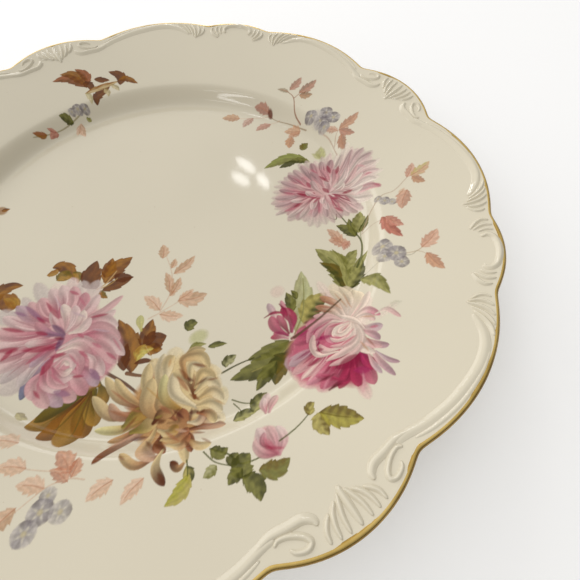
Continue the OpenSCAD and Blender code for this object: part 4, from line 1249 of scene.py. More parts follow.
def paint_lilac_flower(p):
    p.group = GROUP["lilac_chrysanthemum"]
    # Feathered outer petals, all round the heart
    middle = np.array([70.0, -20.0])
    for a in np.arange(0, 360, 9.0):
        c, s = math.cos(math.radians(a)), math.sin(math.radians(a))
        reach = (26.5 if c > 0 else 25.0, 20.5 if s > 0 else 19.0)
        spread = p.random.uniform(0.90, 1.06)
        tip = middle + np.array([reach[0] * c, reach[1] * s]) * spread
        root = middle + np.array([9 * c, 6 * s])
        bend = p.random.uniform(-0.08, 0.08)
        right = c > 0.25
        tips = ("pale", "grey", "cream") if right else ("lilac", "mauve", "grey")
        roots = ("blush", "pale", "pink") if right else ("pink", "mauve", "pink")
        k = int(p.random.integers(0, 3))
        p.petals(LILACS, [(*root, *tip, bend, p.random.uniform(3.6, 5.4), roots[k], tips[k])],
                 soft=1.3, strength=0.72, dark_side=0.2, streak=0.12)
    p.blob(68, -18, 38, 24, LILACS["pink"], soft=5, strength=0.8)
    p.blob(80, -24, 22, 20, LILACS["pale"], soft=5, strength=0.7)
    crisp = dict(soft=0.6, strength=0.88, dark_side=0.34, streak=0.14, streaks=2.0, rim=0.12,
                 shadow=0.42, hairs=3, deepen=0.80)
    p.petals(LILACS, [
        (60, -19, 43.5, -20, 0.05, 3.2, "rose", "grey"),
        (60, -18, 46, -15.6, 0.05, 3.4, "pink", "lilac"),
        (60, -17, 48.6, -11.6, 0.05, 3.4, "mauve", "lilac"),
        (62, -16, 53, -8.4, 0.05, 3.6, "rose", "mauve"),
        (63, -15, 56.6, -4.4, 0.03, 3.6, "pink", "lilac"),
        (64, -13, 61.6, -2.6, 0.0, 3.6, "rose", "mauve"),
        (66, -12, 65.6, -1.4, 0.0, 3.8, "pink", "lilac"),
        (69, -12, 70.4, -0.8, 0.0, 4.0, "mauve", "lilac"),
        (72, -12, 75.4, -2.4, 0.0, 3.8, "pink", "mauve"),
        (75, -12, 80, -4.2, 0.0, 3.8, "rose", "lilac"),
        (77, -13, 84.6, -6, 0.0, 3.6, "pink", "mauve"), (78, -15, 88, -9, 0.0, 3.4, "pale", "grey"),
        (79, -17, 91, -12.4, -0.02, 3.2, "blush", "lilac"),
        (80, -19, 95, -15.6, 0.02, 3.2, "pale", "lilac"),
        (80, -20, 95.4, -20.4, 0.04, 3.2, "cream", "lilac"),
        (80, -21, 94, -25.6, 0.04, 3.2, "pale", "grey"),
        (80, -23, 91.6, -30.4, 0.04, 3.2, "blush", "pale"),
        (79, -24, 87.6, -33.6, 0.03, 3.4, "pale", "cream"),
        (78, -25, 86, -38.4, 0.03, 3.2, "pale", "pink"),
        (76, -26, 81, -39.6, 0.02, 3.8, "cream", "cream"),
        (74, -26, 76.6, -39.8, 0.0, 4.0, "pink", "pale"),
        (72, -26, 72, -37.4, 0.0, 3.8, "rose", "pale"),
        (70, -25, 68.4, -35.6, 0.0, 3.4, "red", "blush"),
        (67, -24, 61.4, -33.6, 0.0, 3.4, "blush", "lilac"),
        (65, -23, 56.6, -30.4, 0.02, 3.2, "rose", "lilac"),
        (63, -22, 51.6, -27.4, 0.03, 3.2, "blush", "grey"),
        (61, -21, 47, -24.4, 0.04, 3.2, "pink", "grey"),
    ], **crisp)
    p.petals(LILACS, [
        (64, -20, 53.6, -17, 0.1, 3.2, "rose", "pale"),
        (65, -19, 57, -13.4, 0.1, 3.2, "red", "pink"),
        (67, -18, 61, -9.4, 0.1, 3.4, "pink", "blush"),
        (69, -18, 66.4, -7.6, 0.08, 3.6, "blush", "pink"),
        (71, -18, 71.6, -7, -0.04, 3.8, "pink", "mauve"),
        (73, -19, 76.6, -8.6, -0.08, 3.6, "rose", "pink"),
        (74, -20, 82, -11.6, -0.1, 3.4, "blush", "pink"),
        (75, -21, 86.6, -15.6, -0.08, 3.4, "cream", "pale"),
        (75, -22, 88, -20.6, -0.05, 3.2, "pale", "blush"),
        (74, -23, 86.6, -26, 0.05, 3.4, "blush", "cream"),
        (73, -24, 83, -31, 0.06, 3.6, "rose", "cream"),
        (72, -24, 77.4, -34.6, 0.05, 4.0, "red", "pale"),
        (70, -24, 71.6, -33.4, 0.0, 3.6, "rose", "blush"),
        (68, -23, 64.6, -30.4, -0.06, 3.4, "pink", "pale"),
        (66, -22, 58.6, -26.4, -0.08, 3.4, "blush", "pale"),
        (65, -21, 55, -22.4, -0.06, 3.2, "red", "blush"),
        (68, -21, 68.6, -12, 0.1, 3.8, "blush", "lilac"),
        (71, -22, 74.6, -15, -0.1, 3.4, "pink", "pale"),
        (66, -22, 62.4, -16, 0.1, 3.2, "pink", "pale"),
        (72, -23, 80.4, -21.4, -0.1, 3.0, "blush", "cream"),
        (71, -23, 77.4, -27.6, 0.1, 3.0, "pale", "blush"),
        (68, -23, 64.6, -26.4, -0.1, 3.0, "blush", "pale"),
    ], **crisp)
    p.shadows(LILACS, [
        (58.6, -14.4, 61.4, -18.4, 2.0, "crimson"), (60.6, -18, 65.6, -23.4, 1.5, "red"),
        (52.6, -21, 57.6, -20.8, 1.7, "crimson"), (48, -20.4, 53.6, -21.6, 1.8, "rose"),
        (66.2, -11.4, 65.8, -15.4, 2.2, "red"), (73.2, -11.4, 75, -17.4, 1.9, "crimson"),
        (80.6, -8, 78.6, -13, 2.2, "crimson"), (84.6, -11.4, 80.6, -15, 2.0, "crimson"),
        (70.2, -18.4, 70.8, -22.6, 2.6, "crimson"), (61.4, -23.6, 65.6, -22.4, 1.2, "red"),
        (75.6, -26.4, 80.6, -27.2, 2.0, "crimson"), (69.4, -25.6, 72, -27.6, 1.6, "red"),
        (67.6, -31, 69.6, -35, 1.7, "red"), (70.6, -29.6, 68.8, -33.4, 1.0, "rose"),
        (62.6, -26.4, 60, -30, 1.3, "rose"), (75.4, -28.4, 75.8, -31.6, 1.0, "red"),
        (72.6, -5.4, 73.6, -9.6, 1.2, "rose"), (77, -20.4, 81.6, -16.6, 0.8, "shade"),
        (80, -22.4, 84, -20.6, 0.9, "shade"), (86, -27.4, 88.4, -29.6, 1.2, "rose"),
        (87.6, -20.4, 88.6, -24.6, 0.9, "pink"), (85, -35, 86.6, -38, 1.8, "rose"),
        (58, -6.6, 60.6, -10.6, 1.2, "mauve"), (54, -11, 57.6, -14.6, 1.6, "rose"),
        (64, -4.6, 65, -9.4, 1.0, "mauve"), (84.6, -17.6, 89.6, -13, 0.7, "shade"),
    ])


def paint_garland(p):
    p.group = GROUP["garland_leaves"]
    # Leaf pointing left from the magenta flower
    p.leaf([(16, -72.5), (7, -71.8), (-0.6, -70.6)], 5.2, GREEN, DEEP_GREEN, teeth=3)
    p.leaf([(17, -73.5), (6, -76), (-9, -73.4)], 8.6, GREEN, DEEP_GREEN, teeth=6,
           vein=(150, 140, 80))
    p.leaves([
        (13, -76, 7, -79, 3, -83.4, 7.6, OLIVE, DEEP_GREEN, 4, True),
        (8, -76.5, 1.5, -79, -3.4, -81.6, 5, GREEN, DEEP_GREEN, 3),
        (-8, -68.6, -6.6, -67, -2.6, -66.6, 3.8, GREY_GREEN, DEEP_GREEN, 3),
    ])
    p.stem([(-10, -69.6), (-4, -70), (2, -71)], 0.7, DEEP_GREEN)
    p.leaf([(-13, -48.6), (-10.6, -46.8), (-8.2, -47.6)], 4.6, GREEN, DEEP_GREEN, teeth=3)
    p.blob(-10.6, -53, 7, 5, (168, 168, 106), soft=2, strength=0.6)
    p.leaves([
        (-16.4, -56.6, -13, -55.4, -9.4, -57, 2.4, PALE_GREEN, GREEN, 2),
        (-9.6, -58.4, -6, -59.4, -3.2, -61, 2.4, GREEN, DEEP_GREEN, 2),
    ])
    # Pale leaf behind the magenta flower
    p.leaf([(20, -71.5), (29, -62), (36.4, -50.4)], 9.4, (172, 172, 126), GREY_GREEN, teeth=5,
           soft=0.6)
    p.leaves([
        (24, -70, 31, -65.6, 38.8, -64, 8.6, YELLOW_GREEN, DEEP_GREEN, 5, True),
        (23.4, -63.6, 25.2, -59, 26, -55.2, 4.4, GREEN, DEEP_GREEN, 3),
        (27.6, -60, 28.4, -57.4, 28, -55.4, 2.4, GREEN, DEEP_GREEN, 2),
    ])
    p.stem([(17, -72.4), (26, -71.6), (34, -70.4), (42, -69.2)], 0.9, (96, 72, 46))
    p.stem([(19, -71.6), (26, -66.4), (31, -60), (35, -53.6)], 0.6, (142, 138, 84))
    # The big leaf and the stalk that climbs to the lilac flower
    p.leaf([(50, -65.8), (57, -61), (64, -58)], 3.6, PALE_GREEN, GREEN, teeth=3)
    p.leaf([(45.6, -68.4), (50.2, -57), (47.4, -44.6)], 10.6, PALE_GREEN, GREEN, teeth=6,
           vein=(88, 94, 48))
    p.leaves([
        (46, -67.6, 48.4, -59, 44.8, -51, 5.4, OLIVE, DEEP_GREEN, 4),
        (47, -67, 52.6, -58, 53, -48.6, 4.6, GREEN, PALE_GREEN, 4),
        (52, -60, 57, -56.2, 61.4, -54.6, 5.2, PALE_GREEN, GREEN, 4),
        (46.6, -67.4, 53.6, -64.4, 60, -60, 5.6, PALE_GREEN, DEEP_GREEN, 4, True),
    ])
    p.stem([(45, -68.2), (50, -67.6), (55, -66.6)], 0.8, DEEP_GREEN)
    p.leaf([(53.4, -66.6), (54.6, -72), (53.8, -81)], 5.2, PALE_GREEN, GREEN, teeth=4, soft=0.6)
    p.stem([(56, -61.4), (61, -58), (65.4, -52.6), (66.4, -47), (66.6, -40), (67, -33)], 0.9,
           STEM_GREEN)
    p.stem([(66, -34.6), (64, -36.8), (62, -34.4)], 0.5, STEM_GREEN)
    p.leaves([
        (65.2, -49, 64.6, -44, 62, -39.6, 5.4, GREEN, DEEP_GREEN, 4),
        (65.6, -49, 66.8, -44, 68.8, -39.6, 3.8, GREEN, DEEP_GREEN, 3, True),
        (67.4, -48, 70.8, -44, 75.2, -39.4, 6.2, PALE_GREEN, GREEN, 4),
        (68, -47.6, 72, -46.4, 75.4, -44, 2.6, GREEN, DEEP_GREEN, 3),
    ])
    p.stem([(58, -60.6), (64, -55), (68.6, -48), (74, -45)], 0.5, (140, 140, 96), strength=0.6)
    # Curved leaf over the lilac flower, and two small ones
    p.leaves([
        (75.2, -1.4, 68.6, 6.6, 54.6, 7.4, 6.4, (128, 132, 64), GREEN, 6),
        (74.8, -0.6, 71.8, 2.4, 67, 4.6, 4.4, GREEN, DEEP_GREEN, 4),
        (70.4, 3, 65.6, 3.4, 60.8, 3.6, 3.6, DEEP_GREEN, DEEP_GREEN, 4),
        (76.6, 7.6, 79.4, 9.6, 82.2, 10.4, 4.2, GREEN, OLIVE, 3),
        (78, 8, 79.6, 10.6, 79.4, 12, 2.4, GREEN, OLIVE, 2),
    ])
    p.leaf([(81.6, -3), (82.6, 0), (85.4, 4)], 5.0, (166, 166, 96), PALE_GREEN, teeth=2, soft=1.6,
           strength=0.7)
    p.leaf([(81, -3), (80.4, 0), (79.4, 3)], 3.6, PALE_GREEN, (166, 166, 96), teeth=2, soft=1.6,
           strength=0.6)


def paint_buds(p):
    p.group = GROUP["bud_spray"]
    p.stem([(-11.6, -79.6), (-9, -82.6), (-5.6, -85)], 0.5, STEM_GREEN)
    p.stem([(-11.8, -81), (-11, -84), (-11.4, -86.4)], 0.45, STEM_GREEN)
    p.leaves([
        (-14.6, -86.4, -10.4, -86.6, -7, -88.4, 4.6, PALE_GREEN, DEEP_GREEN, 3),
        (-8, -88, -4.6, -85, -0.6, -84, 5.2, PALE_GREEN, DEEP_GREEN, 3),
    ])
    pinks = dict(soft=0.6, strength=0.92, dark_side=0.3, streak=0.12)
    p.petals(LILACS, [
        (-4.6, -90.4, -0.4, -84.4, 0.1, 3.6, "rose", "pale"),
        (-4, -91.4, 1.4, -87, 0.05, 3.4, "pink", "blush"),
        (-5, -91, -2.4, -85, 0.1, 3.0, "pink", "pale"),
    ], **pinks)
    p.stem([(-24, -91), (-20, -95.6), (-18.4, -99.6), (-12, -101.4), (-6, -100.8)], 0.6, STEM_GREEN)
    p.stem([(-26, -90.6), (-24.4, -95), (-21, -98.6)], 0.5, STEM_GREEN)
    p.leaves([
        (-24, -91, -22, -93.6, -19.4, -93.6, 4.2, GREEN, DEEP_GREEN, 3),
        (-24.4, -96, -27, -96.8, -29, -97, 3.4, GREY_GREEN, GREEN, 3),
        (-21, -99, -19.6, -97.4, -17.6, -96.6, 4.2, GREEN, DEEP_GREEN, 2),
        (-19, -104, -18, -100, -14.8, -98.6, 6.8, GREEN, DEEP_GREEN, 4),
        (-18.6, -101, -21.6, -101.6, -24, -102.6, 4.2, GREEN, DEEP_GREEN, 3),
        (-19.6, -103, -17.4, -107, -18.4, -111, 5.6, GREEN, DEEP_GREEN, 4),
        (-15, -104, -10.6, -106.6, -6, -106.2, 5.4, GREEN, OLIVE, 4),
        (-31.6, -91.4, -32, -94.4, -33.4, -96, 3.4, YELLOW_GREEN, DEEP_GREEN, 2),
        (-31.8, -94, -36, -97, -40.6, -97.6, 4.6, (156, 150, 62), YELLOW_GREEN, 4),
    ])
    p.stem([(-31, -90), (-31.6, -92), (-32.4, -94)], 0.5, STEM_GREEN)
    # The larger rosebud
    p.blob(-8.6, -99, 8.4, 9, LILACS["pink"], soft=1.6, strength=0.95)
    p.petals(LILACS, [
        (-8, -103.6, -12.4, -96.4, 0.18, 4.0, "rose", "blush"),
        (-8, -103.6, -4.4, -96.4, -0.18, 4.0, "pink", "pale"),
        (-8.4, -103, -9.6, -93.6, 0.05, 4.2, "rose", "pale"),
        (-8, -102, -6.6, -95, -0.05, 3.4, "pink", "blush"),
        (-9, -101, -8.4, -96, 0.3, 2.4, "red", "pink"),
    ], **pinks)
    p.shadows(LILACS, [(-9.6, -97, -8, -101.6, 1.4, "rose"), (-10.6, -100, -6, -103, 1.3, "red")])
    # Leaf pair and stalk towards the near rim
    p.stem([(-6, -100.6), (-1, -100.4), (3.4, -99.6), (7, -98.4)], 0.5, STEM_GREEN)
    p.leaves([
        (5.4, -99.6, 7, -97.4, 9, -97, 3.4, YELLOW_GREEN, OLIVE, 3),
        (8.4, -100.4, 6.6, -103.6, 6.6, -107.6, 5.4, YELLOW_GREEN, OLIVE, 4),
    ])
    p.leaf([(8.4, -100.6), (12, -104.6), (17.6, -109.6)], 7.2, (156, 146, 66), OLIVE, teeth=5,
           vein=(96, 84, 36))


def sprig_leaf(p, x0, y0, x1, y1, width, light=SALMON, dark=DEEP_SALMON, strength=0.72, teeth=4):
    middle = ((x0 + x1) / 2 + 0.06 * (y1 - y0), (y0 + y1) / 2 - 0.06 * (x1 - x0))
    p.leaf([(x0, y0), middle, (x1, y1)], width, light, dark, teeth=teeth, depth=0.35, soft=0.6,
           strength=strength, vein=(168, 116, 88))


def sprig_leaves(p, rows):
    """Rows of: x, y of the stalk and the tip, width, and then light and dark colour, strength."""
    for row in rows:
        sprig_leaf(p, *row)


def paint_sprigs(p):
    faint = dict(strength=0.55)
    p.group = GROUP["inner_sprig"]
    p.stem([(-23, -36), (-18, -36), (-10, -35.6)], 0.5, PALE_SALMON, **faint)
    p.stem([(-18, -35.6), (-12, -31), (-8.4, -26), (-6.4, -20), (-5.4, -14)], 0.5, PALE_SALMON,
           **faint)
    sprig_leaves(p, [
        (-17.8, -35, -20.4, -26, 5.0, PALE_SALMON, SALMON),
        (-18.6, -36.6, -11.4, -42, 4.6, PALE_SALMON, SALMON), (-10.4, -35.2, 0.4, -38.6, 6.6),
        (-9.8, -34.8, -3, -33.8, 3.6, PALE_SALMON, SALMON), (-11.4, -30, -8.8, -20.6, 3.8),
        (-11, -30.8, -5, -26, 3.6), (-7, -13.6, -4, -7.2, 4.4), (-6, -20, -2.8, -16.6, 2.8),
        (-6.4, -23, 4.6, -19.8, 4.4), (-12, -31.4, -9.4, -30.2, 2.2),
    ])

    p.group = GROUP["upper_sprig"]
    p.stem([(85.4, 16.5), (82, 26), (78, 34), (77, 39)], 0.5, (150, 126, 96), strength=0.8)
    p.stem([(85, 21), (85.6, 27), (89.4, 34), (89, 40)], 0.6, (150, 104, 78), strength=0.85)
    p.stem([(77.6, 37.6), (70, 42), (64, 45.6)], 0.5, PALE_SALMON, **faint)
    p.stem([(79.6, 32), (75, 33), (72, 33)], 0.45, PALE_SALMON, **faint)
    p.stem([(89.4, 33.4), (92, 33.6), (95, 34)], 0.5, (150, 104, 78), strength=0.7)
    sprig_leaves(p, [
        (63.6, 46, 56, 51.4, 6.0, (186, 142, 104), (158, 108, 72)),
        (69.6, 42.4, 61.4, 39, 4.4, (184, 148, 132), (156, 112, 98)),
        (74.6, 33, 65.6, 33, 4.6, (176, 124, 108), (154, 100, 84)),
        (77.6, 38.8, 73.4, 47, 4.0, (168, 104, 84), (146, 84, 70)),
    ])
    p.blob(77.6, 38, 2.4, 4.2, (104, 58, 44), soft=0.8, strength=0.9, turn=-20)
    sprig_leaves(p, [
        (89.4, 38.4, 86.2, 44, 2.4, (150, 134, 108), (124, 106, 80)),
        (90.6, 39, 99.4, 41.4, 4.4, (168, 114, 96), (134, 84, 66)),
        (93, 34.2, 104, 34.6, 5.0, (164, 108, 86), (118, 74, 50)),
        (92.4, 33, 97.4, 28.6, 4.4, (158, 110, 70), (112, 74, 40)),
        (83.6, 19, 77, 24, 6.0, (194, 148, 112), (168, 118, 84)),
        (83, 18.6, 76.4, 19.4, 4.0, (190, 146, 116), (166, 116, 88)),
        (78, 18.4, 72.4, 12.4, 4.8, (178, 118, 72), (152, 94, 56)),
    ])
    # The part that turns towards the right rim
    p.stem([(88.4, 9), (88.8, 2), (87, -7)], 0.5, (178, 140, 116), **faint)
    p.stem([(88.4, -3), (91, 0), (94.6, 2)], 0.4, (178, 130, 104), **faint)
    sprig_leaves(p, [
        (93, 1.4, 90, 7, 3.4, (190, 150, 126), (172, 124, 100)),
        (93, -1.6, 89.6, -8.6, 4.0, (166, 104, 72), (138, 82, 56)),
        (94, 1.6, 97.6, -5.6, 4.6, (168, 104, 82), (136, 78, 60)),
        (94.4, 2, 106.4, 3, 4.8, (180, 126, 94), (154, 98, 70)),
    ])

    p.group = GROUP["side_sprig"]
    p.stem([(69, -48.6), (76, -44.4), (83, -42.4), (88, -44), (96, -42.6)], 0.55, (176, 148, 122),
           strength=0.6)
    sprig_leaves(p, [
        (60, -50.6, 54.6, -44, 5.4, (190, 146, 118), (172, 116, 92), 0.75),
        (58.4, -48.4, 57.6, -39, 4.8, (192, 150, 122), (170, 120, 94), 0.75),
        (61.6, -49.4, 56.6, -51.6, 3.4, (190, 140, 118), (168, 112, 92), 0.75),
        (91.6, -47.6, 83.6, -53.6, 6.0, (188, 136, 110), (160, 104, 80)),
        (88, -47, 91.6, -46, 2.4, PALE_SALMON, SALMON, 0.6),
        (96, -42.4, 102.6, -38, 4.0, (194, 146, 124), (172, 118, 96)),
        (97.6, -43.6, 99.2, -49.6, 3.8, (170, 116, 78), (146, 90, 58)),
        (97.6, -43, 107.6, -42.6, 4.6, (186, 144, 110), (176, 160, 96), 0.75),
    ])
    p.stem([(68, -49.4), (72, -49.6), (75, -52)], 0.4, (176, 148, 122), **faint)
    sprig_leaves(p, [
        (75.8, -51, 74.6, -64.4, 5.0, (176, 106, 88), (144, 74, 62), 0.9),
        (77, -52, 78.6, -60.4, 4.6, (190, 134, 114), (164, 102, 84), 0.85),
    ])
    p.stem([(69.6, -71), (73.4, -73), (77, -73)], 0.5, (176, 150, 120), strength=0.6)
    p.stem([(73.4, -73), (74.4, -75), (74.6, -77)], 0.4, (176, 150, 120), **faint)
    sprig_leaves(p, [
        (75.6, -73, 85.4, -70.4, 5.4, (198, 152, 126), (178, 124, 98), 0.75),
        (75, -76, 74.2, -85.4, 4.8, (184, 124, 86), (158, 96, 62)),
    ])
    p.leaf([(50, -85.6), (52, -85), (54.4, -85.8)], 2.2, (186, 182, 160), (178, 176, 150), teeth=2,
           soft=1.2, strength=0.5)

    p.group = GROUP["lower_sprig"]
    sprig_leaves(p, [
        (-60, -74.6, -62, -66, 5.4, (192, 132, 100), (166, 104, 76)),
        (-60, -76, -57, -71.4, 3.8, (190, 132, 100), (162, 100, 72)),
        (-61, -76.6, -64.6, -70.6, 3.8, (188, 130, 100), (160, 98, 72)),
        (-66.6, -75, -73, -70, 5.0, PALE_SALMON, SALMON),
        (-70, -66.6, -77, -62, 5.0, PALE_SALMON, SALMON),
        (-71, -57.4, -77, -53, 4.6, PALE_SALMON, SALMON, 0.6),
        (-50.4, -83.2, -58, -84.6, 4.8, PALE_SALMON, SALMON),
        (-43, -87.6, -50.4, -90.6, 4.2, PALE_SALMON, SALMON),
        (-73.6, -76, -81, -80, 5.0, SALMON, DEEP_SALMON),
    ])
    p.stem([(-57, -78.6), (-60.6, -76), (-66, -75), (-74, -77)], 0.5, PALE_SALMON, **faint)
    p.stem([(-60, -74), (-66, -70), (-71, -66)], 0.45, PALE_SALMON, **faint)


def paint_rim_spray(p):
    p.group = GROUP["rim_leaf_spray"]
    p.leaves([
        (5, 100, -1, 108, -9, 109.4, 5.6, (150, 92, 58), RED_BROWN, 4),
        (6, 101, 2, 109, -4, 112, 6.4, BROWN, RED_BROWN, 4),
        (6, 101.6, 7, 107, 4, 112.4, 5.2, (146, 88, 56), RED_BROWN, 4),
        (4, 103, 6.4, 100, 5.6, 97, 4.6, RED_BROWN, DEEP_BROWN, 3),
        (4.4, 89.6, 7, 93, 15.4, 96, 4.6, RED_BROWN, DEEP_BROWN, 4),
        (2, 96.6, 10, 97, 21, 96.4, 3.2, (186, 164, 120), BROWN, 3),
        (20, 94, 22.6, 99, 18.4, 104, 5.2, RED_BROWN, DEEP_BROWN, 4),
        (20.6, 97, 24.6, 96, 28.4, 90.6, 3.6, BROWN, RED_BROWN, 3, True),
        (10, 103, 13, 101, 16.6, 99, 3.6, RED_BROWN, DEEP_BROWN, 2),
    ])
    p.leaf([(12, 95.6), (12.4, 92.4), (11.6, 90.6)], 3.0, (196, 178, 132), (150, 130, 80), teeth=2,
           strength=0.7)
    p.leaf([(16, 96), (17.6, 93.4), (18, 91)], 2.6, (196, 178, 132), (140, 124, 76), teeth=2,
           strength=0.7)
    p.leaf([(2.6, 97), (3.4, 93.4), (2.4, 90.4)], 2.8, (190, 176, 130), (150, 140, 90), teeth=2,
           strength=0.7)
    p.stem([(0, 90.6), (-8, 88), (-18, 85.4), (-30, 84)], 0.5, (140, 128, 84), strength=0.75)
    p.leaves([
        (-10, 87, -12, 88.6, -14.6, 90, 4.0, GREEN, DEEP_GREEN, 3),
        (-3.4, 87.6, -2.4, 86.6, -1.6, 87.4, 1.8, PALE_GREEN, GREEN, 2),
        (-24, 84.8, -26.6, 84.6, -29.4, 85.4, 2.4, (150, 92, 58), BROWN, 2),
        (-19, 84.6, -21.6, 84.4, -23.6, 83.2, 2.4, (190, 136, 116), (164, 106, 88), 2),
        (-19.4, 85.2, -21.4, 86, -22.6, 86.6, 1.6, (190, 136, 116), (164, 106, 88), 2),
    ])
    p.leaf([(-7, 86.4), (-8.6, 82.4), (-8.4, 77.6)], 3.6, PALE_SALMON, (178, 140, 110), teeth=3,
           strength=0.8)
    p.leaf([(-8, 86), (-10.4, 83), (-11.4, 80.6)], 2.4, PALE_SALMON, (178, 140, 110), teeth=2,
           strength=0.7)


def paint_far_spray(p):
    p.group = GROUP["far_spray"]
    p.stem([(-74, 50), (-82, 60), (-88, 72), (-90, 82)], 0.55, PALE_SALMON, strength=0.6)
    for x0, y0, x1, y1, width in (
        (-78, 55, -71, 60, 4.6), (-80, 58, -89, 56, 4.8), (-84, 65, -77, 71, 4.6),
        (-86, 68, -95, 68, 4.6), (-89, 76, -83, 83, 4.4), (-90, 80, -97, 84, 4.2),
    ):
        sprig_leaf(p, x0, y0, x1, y1, width)


def bloom(p, x, y, size, start=0.0, strength=0.85):
    """A forget-me-not of five round petals about a yellow eye."""
    for k in range(5):
        a = math.radians(start + 72 * k)
        c, s = math.cos(a), math.sin(a)
        tone = (PALE_SLATE, SLATE, DEEP_SLATE)[int(p.random.integers(0, 3))]
        line = [(x + f * c * size, y + f * s * size) for f in (0.3, 0.7, 1.15)]
        p.stroke(line, size * 1.15, SLATE, tone, soft=1.1, strength=strength, dark_side=0.2,
                 streak=0.1)
    p.blob(x, y, size * 0.5, size * 0.5, (178, 164, 120), soft=0.8, strength=0.6)


def blooms(p, rows):
    """Rows of: x, y, size, the turn of the first petal, and a strength if not the usual one."""
    for row in rows:
        bloom(p, *row)


def paint_forget_me_nots(p):
    p.group = GROUP["forget_me_nots"]
    p.blob(92, 13.6, 9, 12, PALE_SLATE, soft=2.2, strength=0.55)
    blooms(p, [
        (89.6, 18.4, 2.8, 20), (91.2, 12.6, 3.0, 50), (95.6, 14.4, 3.0, 10), (96.4, 9.4, 2.9, 40),
        (90.4, 8.6, 2.4, 5, 0.7),
    ])
    p.shadows({"slate": DEEP_SLATE}, [
        (91, 12, 93.4, 14, 2.0, "slate"), (94.4, 15.6, 96, 14, 1.6, "slate"),
    ])
    p.stem([(54, -66.8), (58, -66.8), (62, -67.2)], 0.4, (150, 148, 130), strength=0.5)
    blooms(p, [
        (66.4, -62.6, 3.2, 30), (67.6, -68.6, 3.2, 0), (63.6, -66.8, 2.4, 50, 0.7),
        (66.2, -73, 2.4, 15, 0.75),
    ])
    p.stem([(69, -71.6), (71, -73), (73.6, -73)], 0.4, (150, 140, 116), strength=0.6)
    blooms(p, [
        (82, -45.4, 1.9, 10), (83.6, -48, 1.5, 60, 0.7), (81, -42.6, 1.3, 30, 0.7),
        (-5, 90.6, 2.0, 0), (-1.8, 90, 1.8, 30), (-8.2, 90.2, 1.4, 60), (-68.4, -80.6, 3.0, 20),
        (-64, -83.4, 2.6, 50, 0.7), (-72.6, -83.6, 2.8, 0), (-66, -77.4, 2.0, 10, 0.7),
    ])


def paint_all():
    p = Painting(seed=23)
    paint_brown_leaves(p)
    paint_garland(p)
    paint_pink_flower(p)
    paint_tan_flower(p)
    paint_magenta_flower(p)
    paint_lilac_flower(p)
    paint_buds(p)
    paint_sprigs(p)
    paint_rim_spray(p)
    paint_far_spray(p)
    paint_forget_me_nots(p)
    return p


# ---------------------------------------------------------------- Enamel skins
def skin_height(x, y, cover):
    """The film lies a few hundredths proud, and its bare border dips below the glaze."""
    return surface_z(np.hypot(x, y)) - 0.02 + 0.06 * ease(cover / 0.3)


def surface_normals(x, y):
    """The glazed surface's own normals, so that a skin is lit just as the glaze round it."""
    r = np.maximum(np.hypot(x, y), 1e-6)
    slope = (surface_z(r + 0.05) - surface_z(r - 0.05)) / 0.1
    normals = np.column_stack([-slope * x / r, -slope * y / r, np.ones_like(r)])
    return normals / np.linalg.norm(normals, axis=1)[:, None]


def make_skin(painting, index):
    name, node, slot = GROUPS[index]
    cover = painting.cover
    painted = (cover > 0.01) & (painting.owner == index)
    touched = painted[:-1, :-1] | painted[1:, :-1] | painted[:-1, 1:] | painted[1:, 1:]
    # A cell that two sprays share goes to the first of them
    taken = np.zeros_like(touched)
    for other in range(index):
        theirs = (cover > 0.01) & (painting.owner == other)
        taken |= theirs[:-1, :-1] | theirs[1:, :-1] | theirs[:-1, 1:] | theirs[1:, 1:]
    rows, columns = np.nonzero(touched & ~taken)
    size = len(AXIS)
    corners = np.column_stack([
        rows * size + columns, rows * size + columns + 1,
        (rows + 1) * size + columns + 1, (rows + 1) * size + columns,
    ])
    used, faces = np.unique(corners, return_inverse=True)
    faces = faces.reshape(corners.shape)
    y, x = AXIS[used // size], AXIS[used % size]
    alpha = cover.ravel()[used]
    points = np.column_stack([x, y, skin_height(x, y, alpha)])
    piece = new_piece(name, points, faces.tolist(), [enamel_material(name + "_paint")])
    colours = np.column_stack([painting.colour.reshape(-1, 3)[used], alpha])
    layer = piece.data.color_attributes.new("paint", "FLOAT_COLOR", "POINT")
    layer.data.foreach_set("color", colours.astype(np.float32).ravel())
    piece.data.normals_split_custom_set_from_vertices(surface_normals(x, y).tolist())
    return stand_for(piece, slot, node)


def make_skins():
    painting = paint_all()
    for index in range(len(GROUPS)):
        make_skin(painting, index)


# ---------------------------------------------------------------- Stage, light and camera
def make_floor():
    nodes = Nodes("pale_floor")
    colour = nodes.ramp(nodes.noise(3.0, 2.0), [
        (0.3, (0.875, 0.875, 0.88)), (0.7, (0.89, 0.89, 0.895)),
    ])
    nodes.link(colour, nodes.shader.inputs["Base Color"])
    nodes.shader.inputs["Emission Color"].default_value = (1, 1, 1, 1)
    nodes.shader.inputs["Emission Strength"].default_value = 0.12
    material = nodes.finish(roughness=0.9)
    size = 3000.0
    corners = [(-size, -size, 0), (size, -size, 0), (size, size, 0), (-size, size, 0)]
    new_piece("floor", corners, [(0, 1, 2, 3)], [material], smooth=False)


def aim(thing, place, target):
    thing.location = place
    thing.rotation_euler = (Vector(target) - Vector(place)).to_track_quat("-Z", "Y").to_euler()


def make_lamp(name, place, size, power, target=(0, 0, 0), roll=0.0):
    light = bpy.data.lights.new(name, "AREA")
    light.shape = "ELLIPSE"
    light.size, light.size_y = size
    light.energy = power
    lamp = bpy.data.objects.new(name, light)
    bpy.context.scene.collection.objects.link(lamp)
    aim(lamp, place, target)
    turned = lamp.rotation_euler.to_matrix() @ Matrix.Rotation(math.radians(roll), 3, "Z")
    lamp.rotation_euler = turned.to_euler()
    return lamp


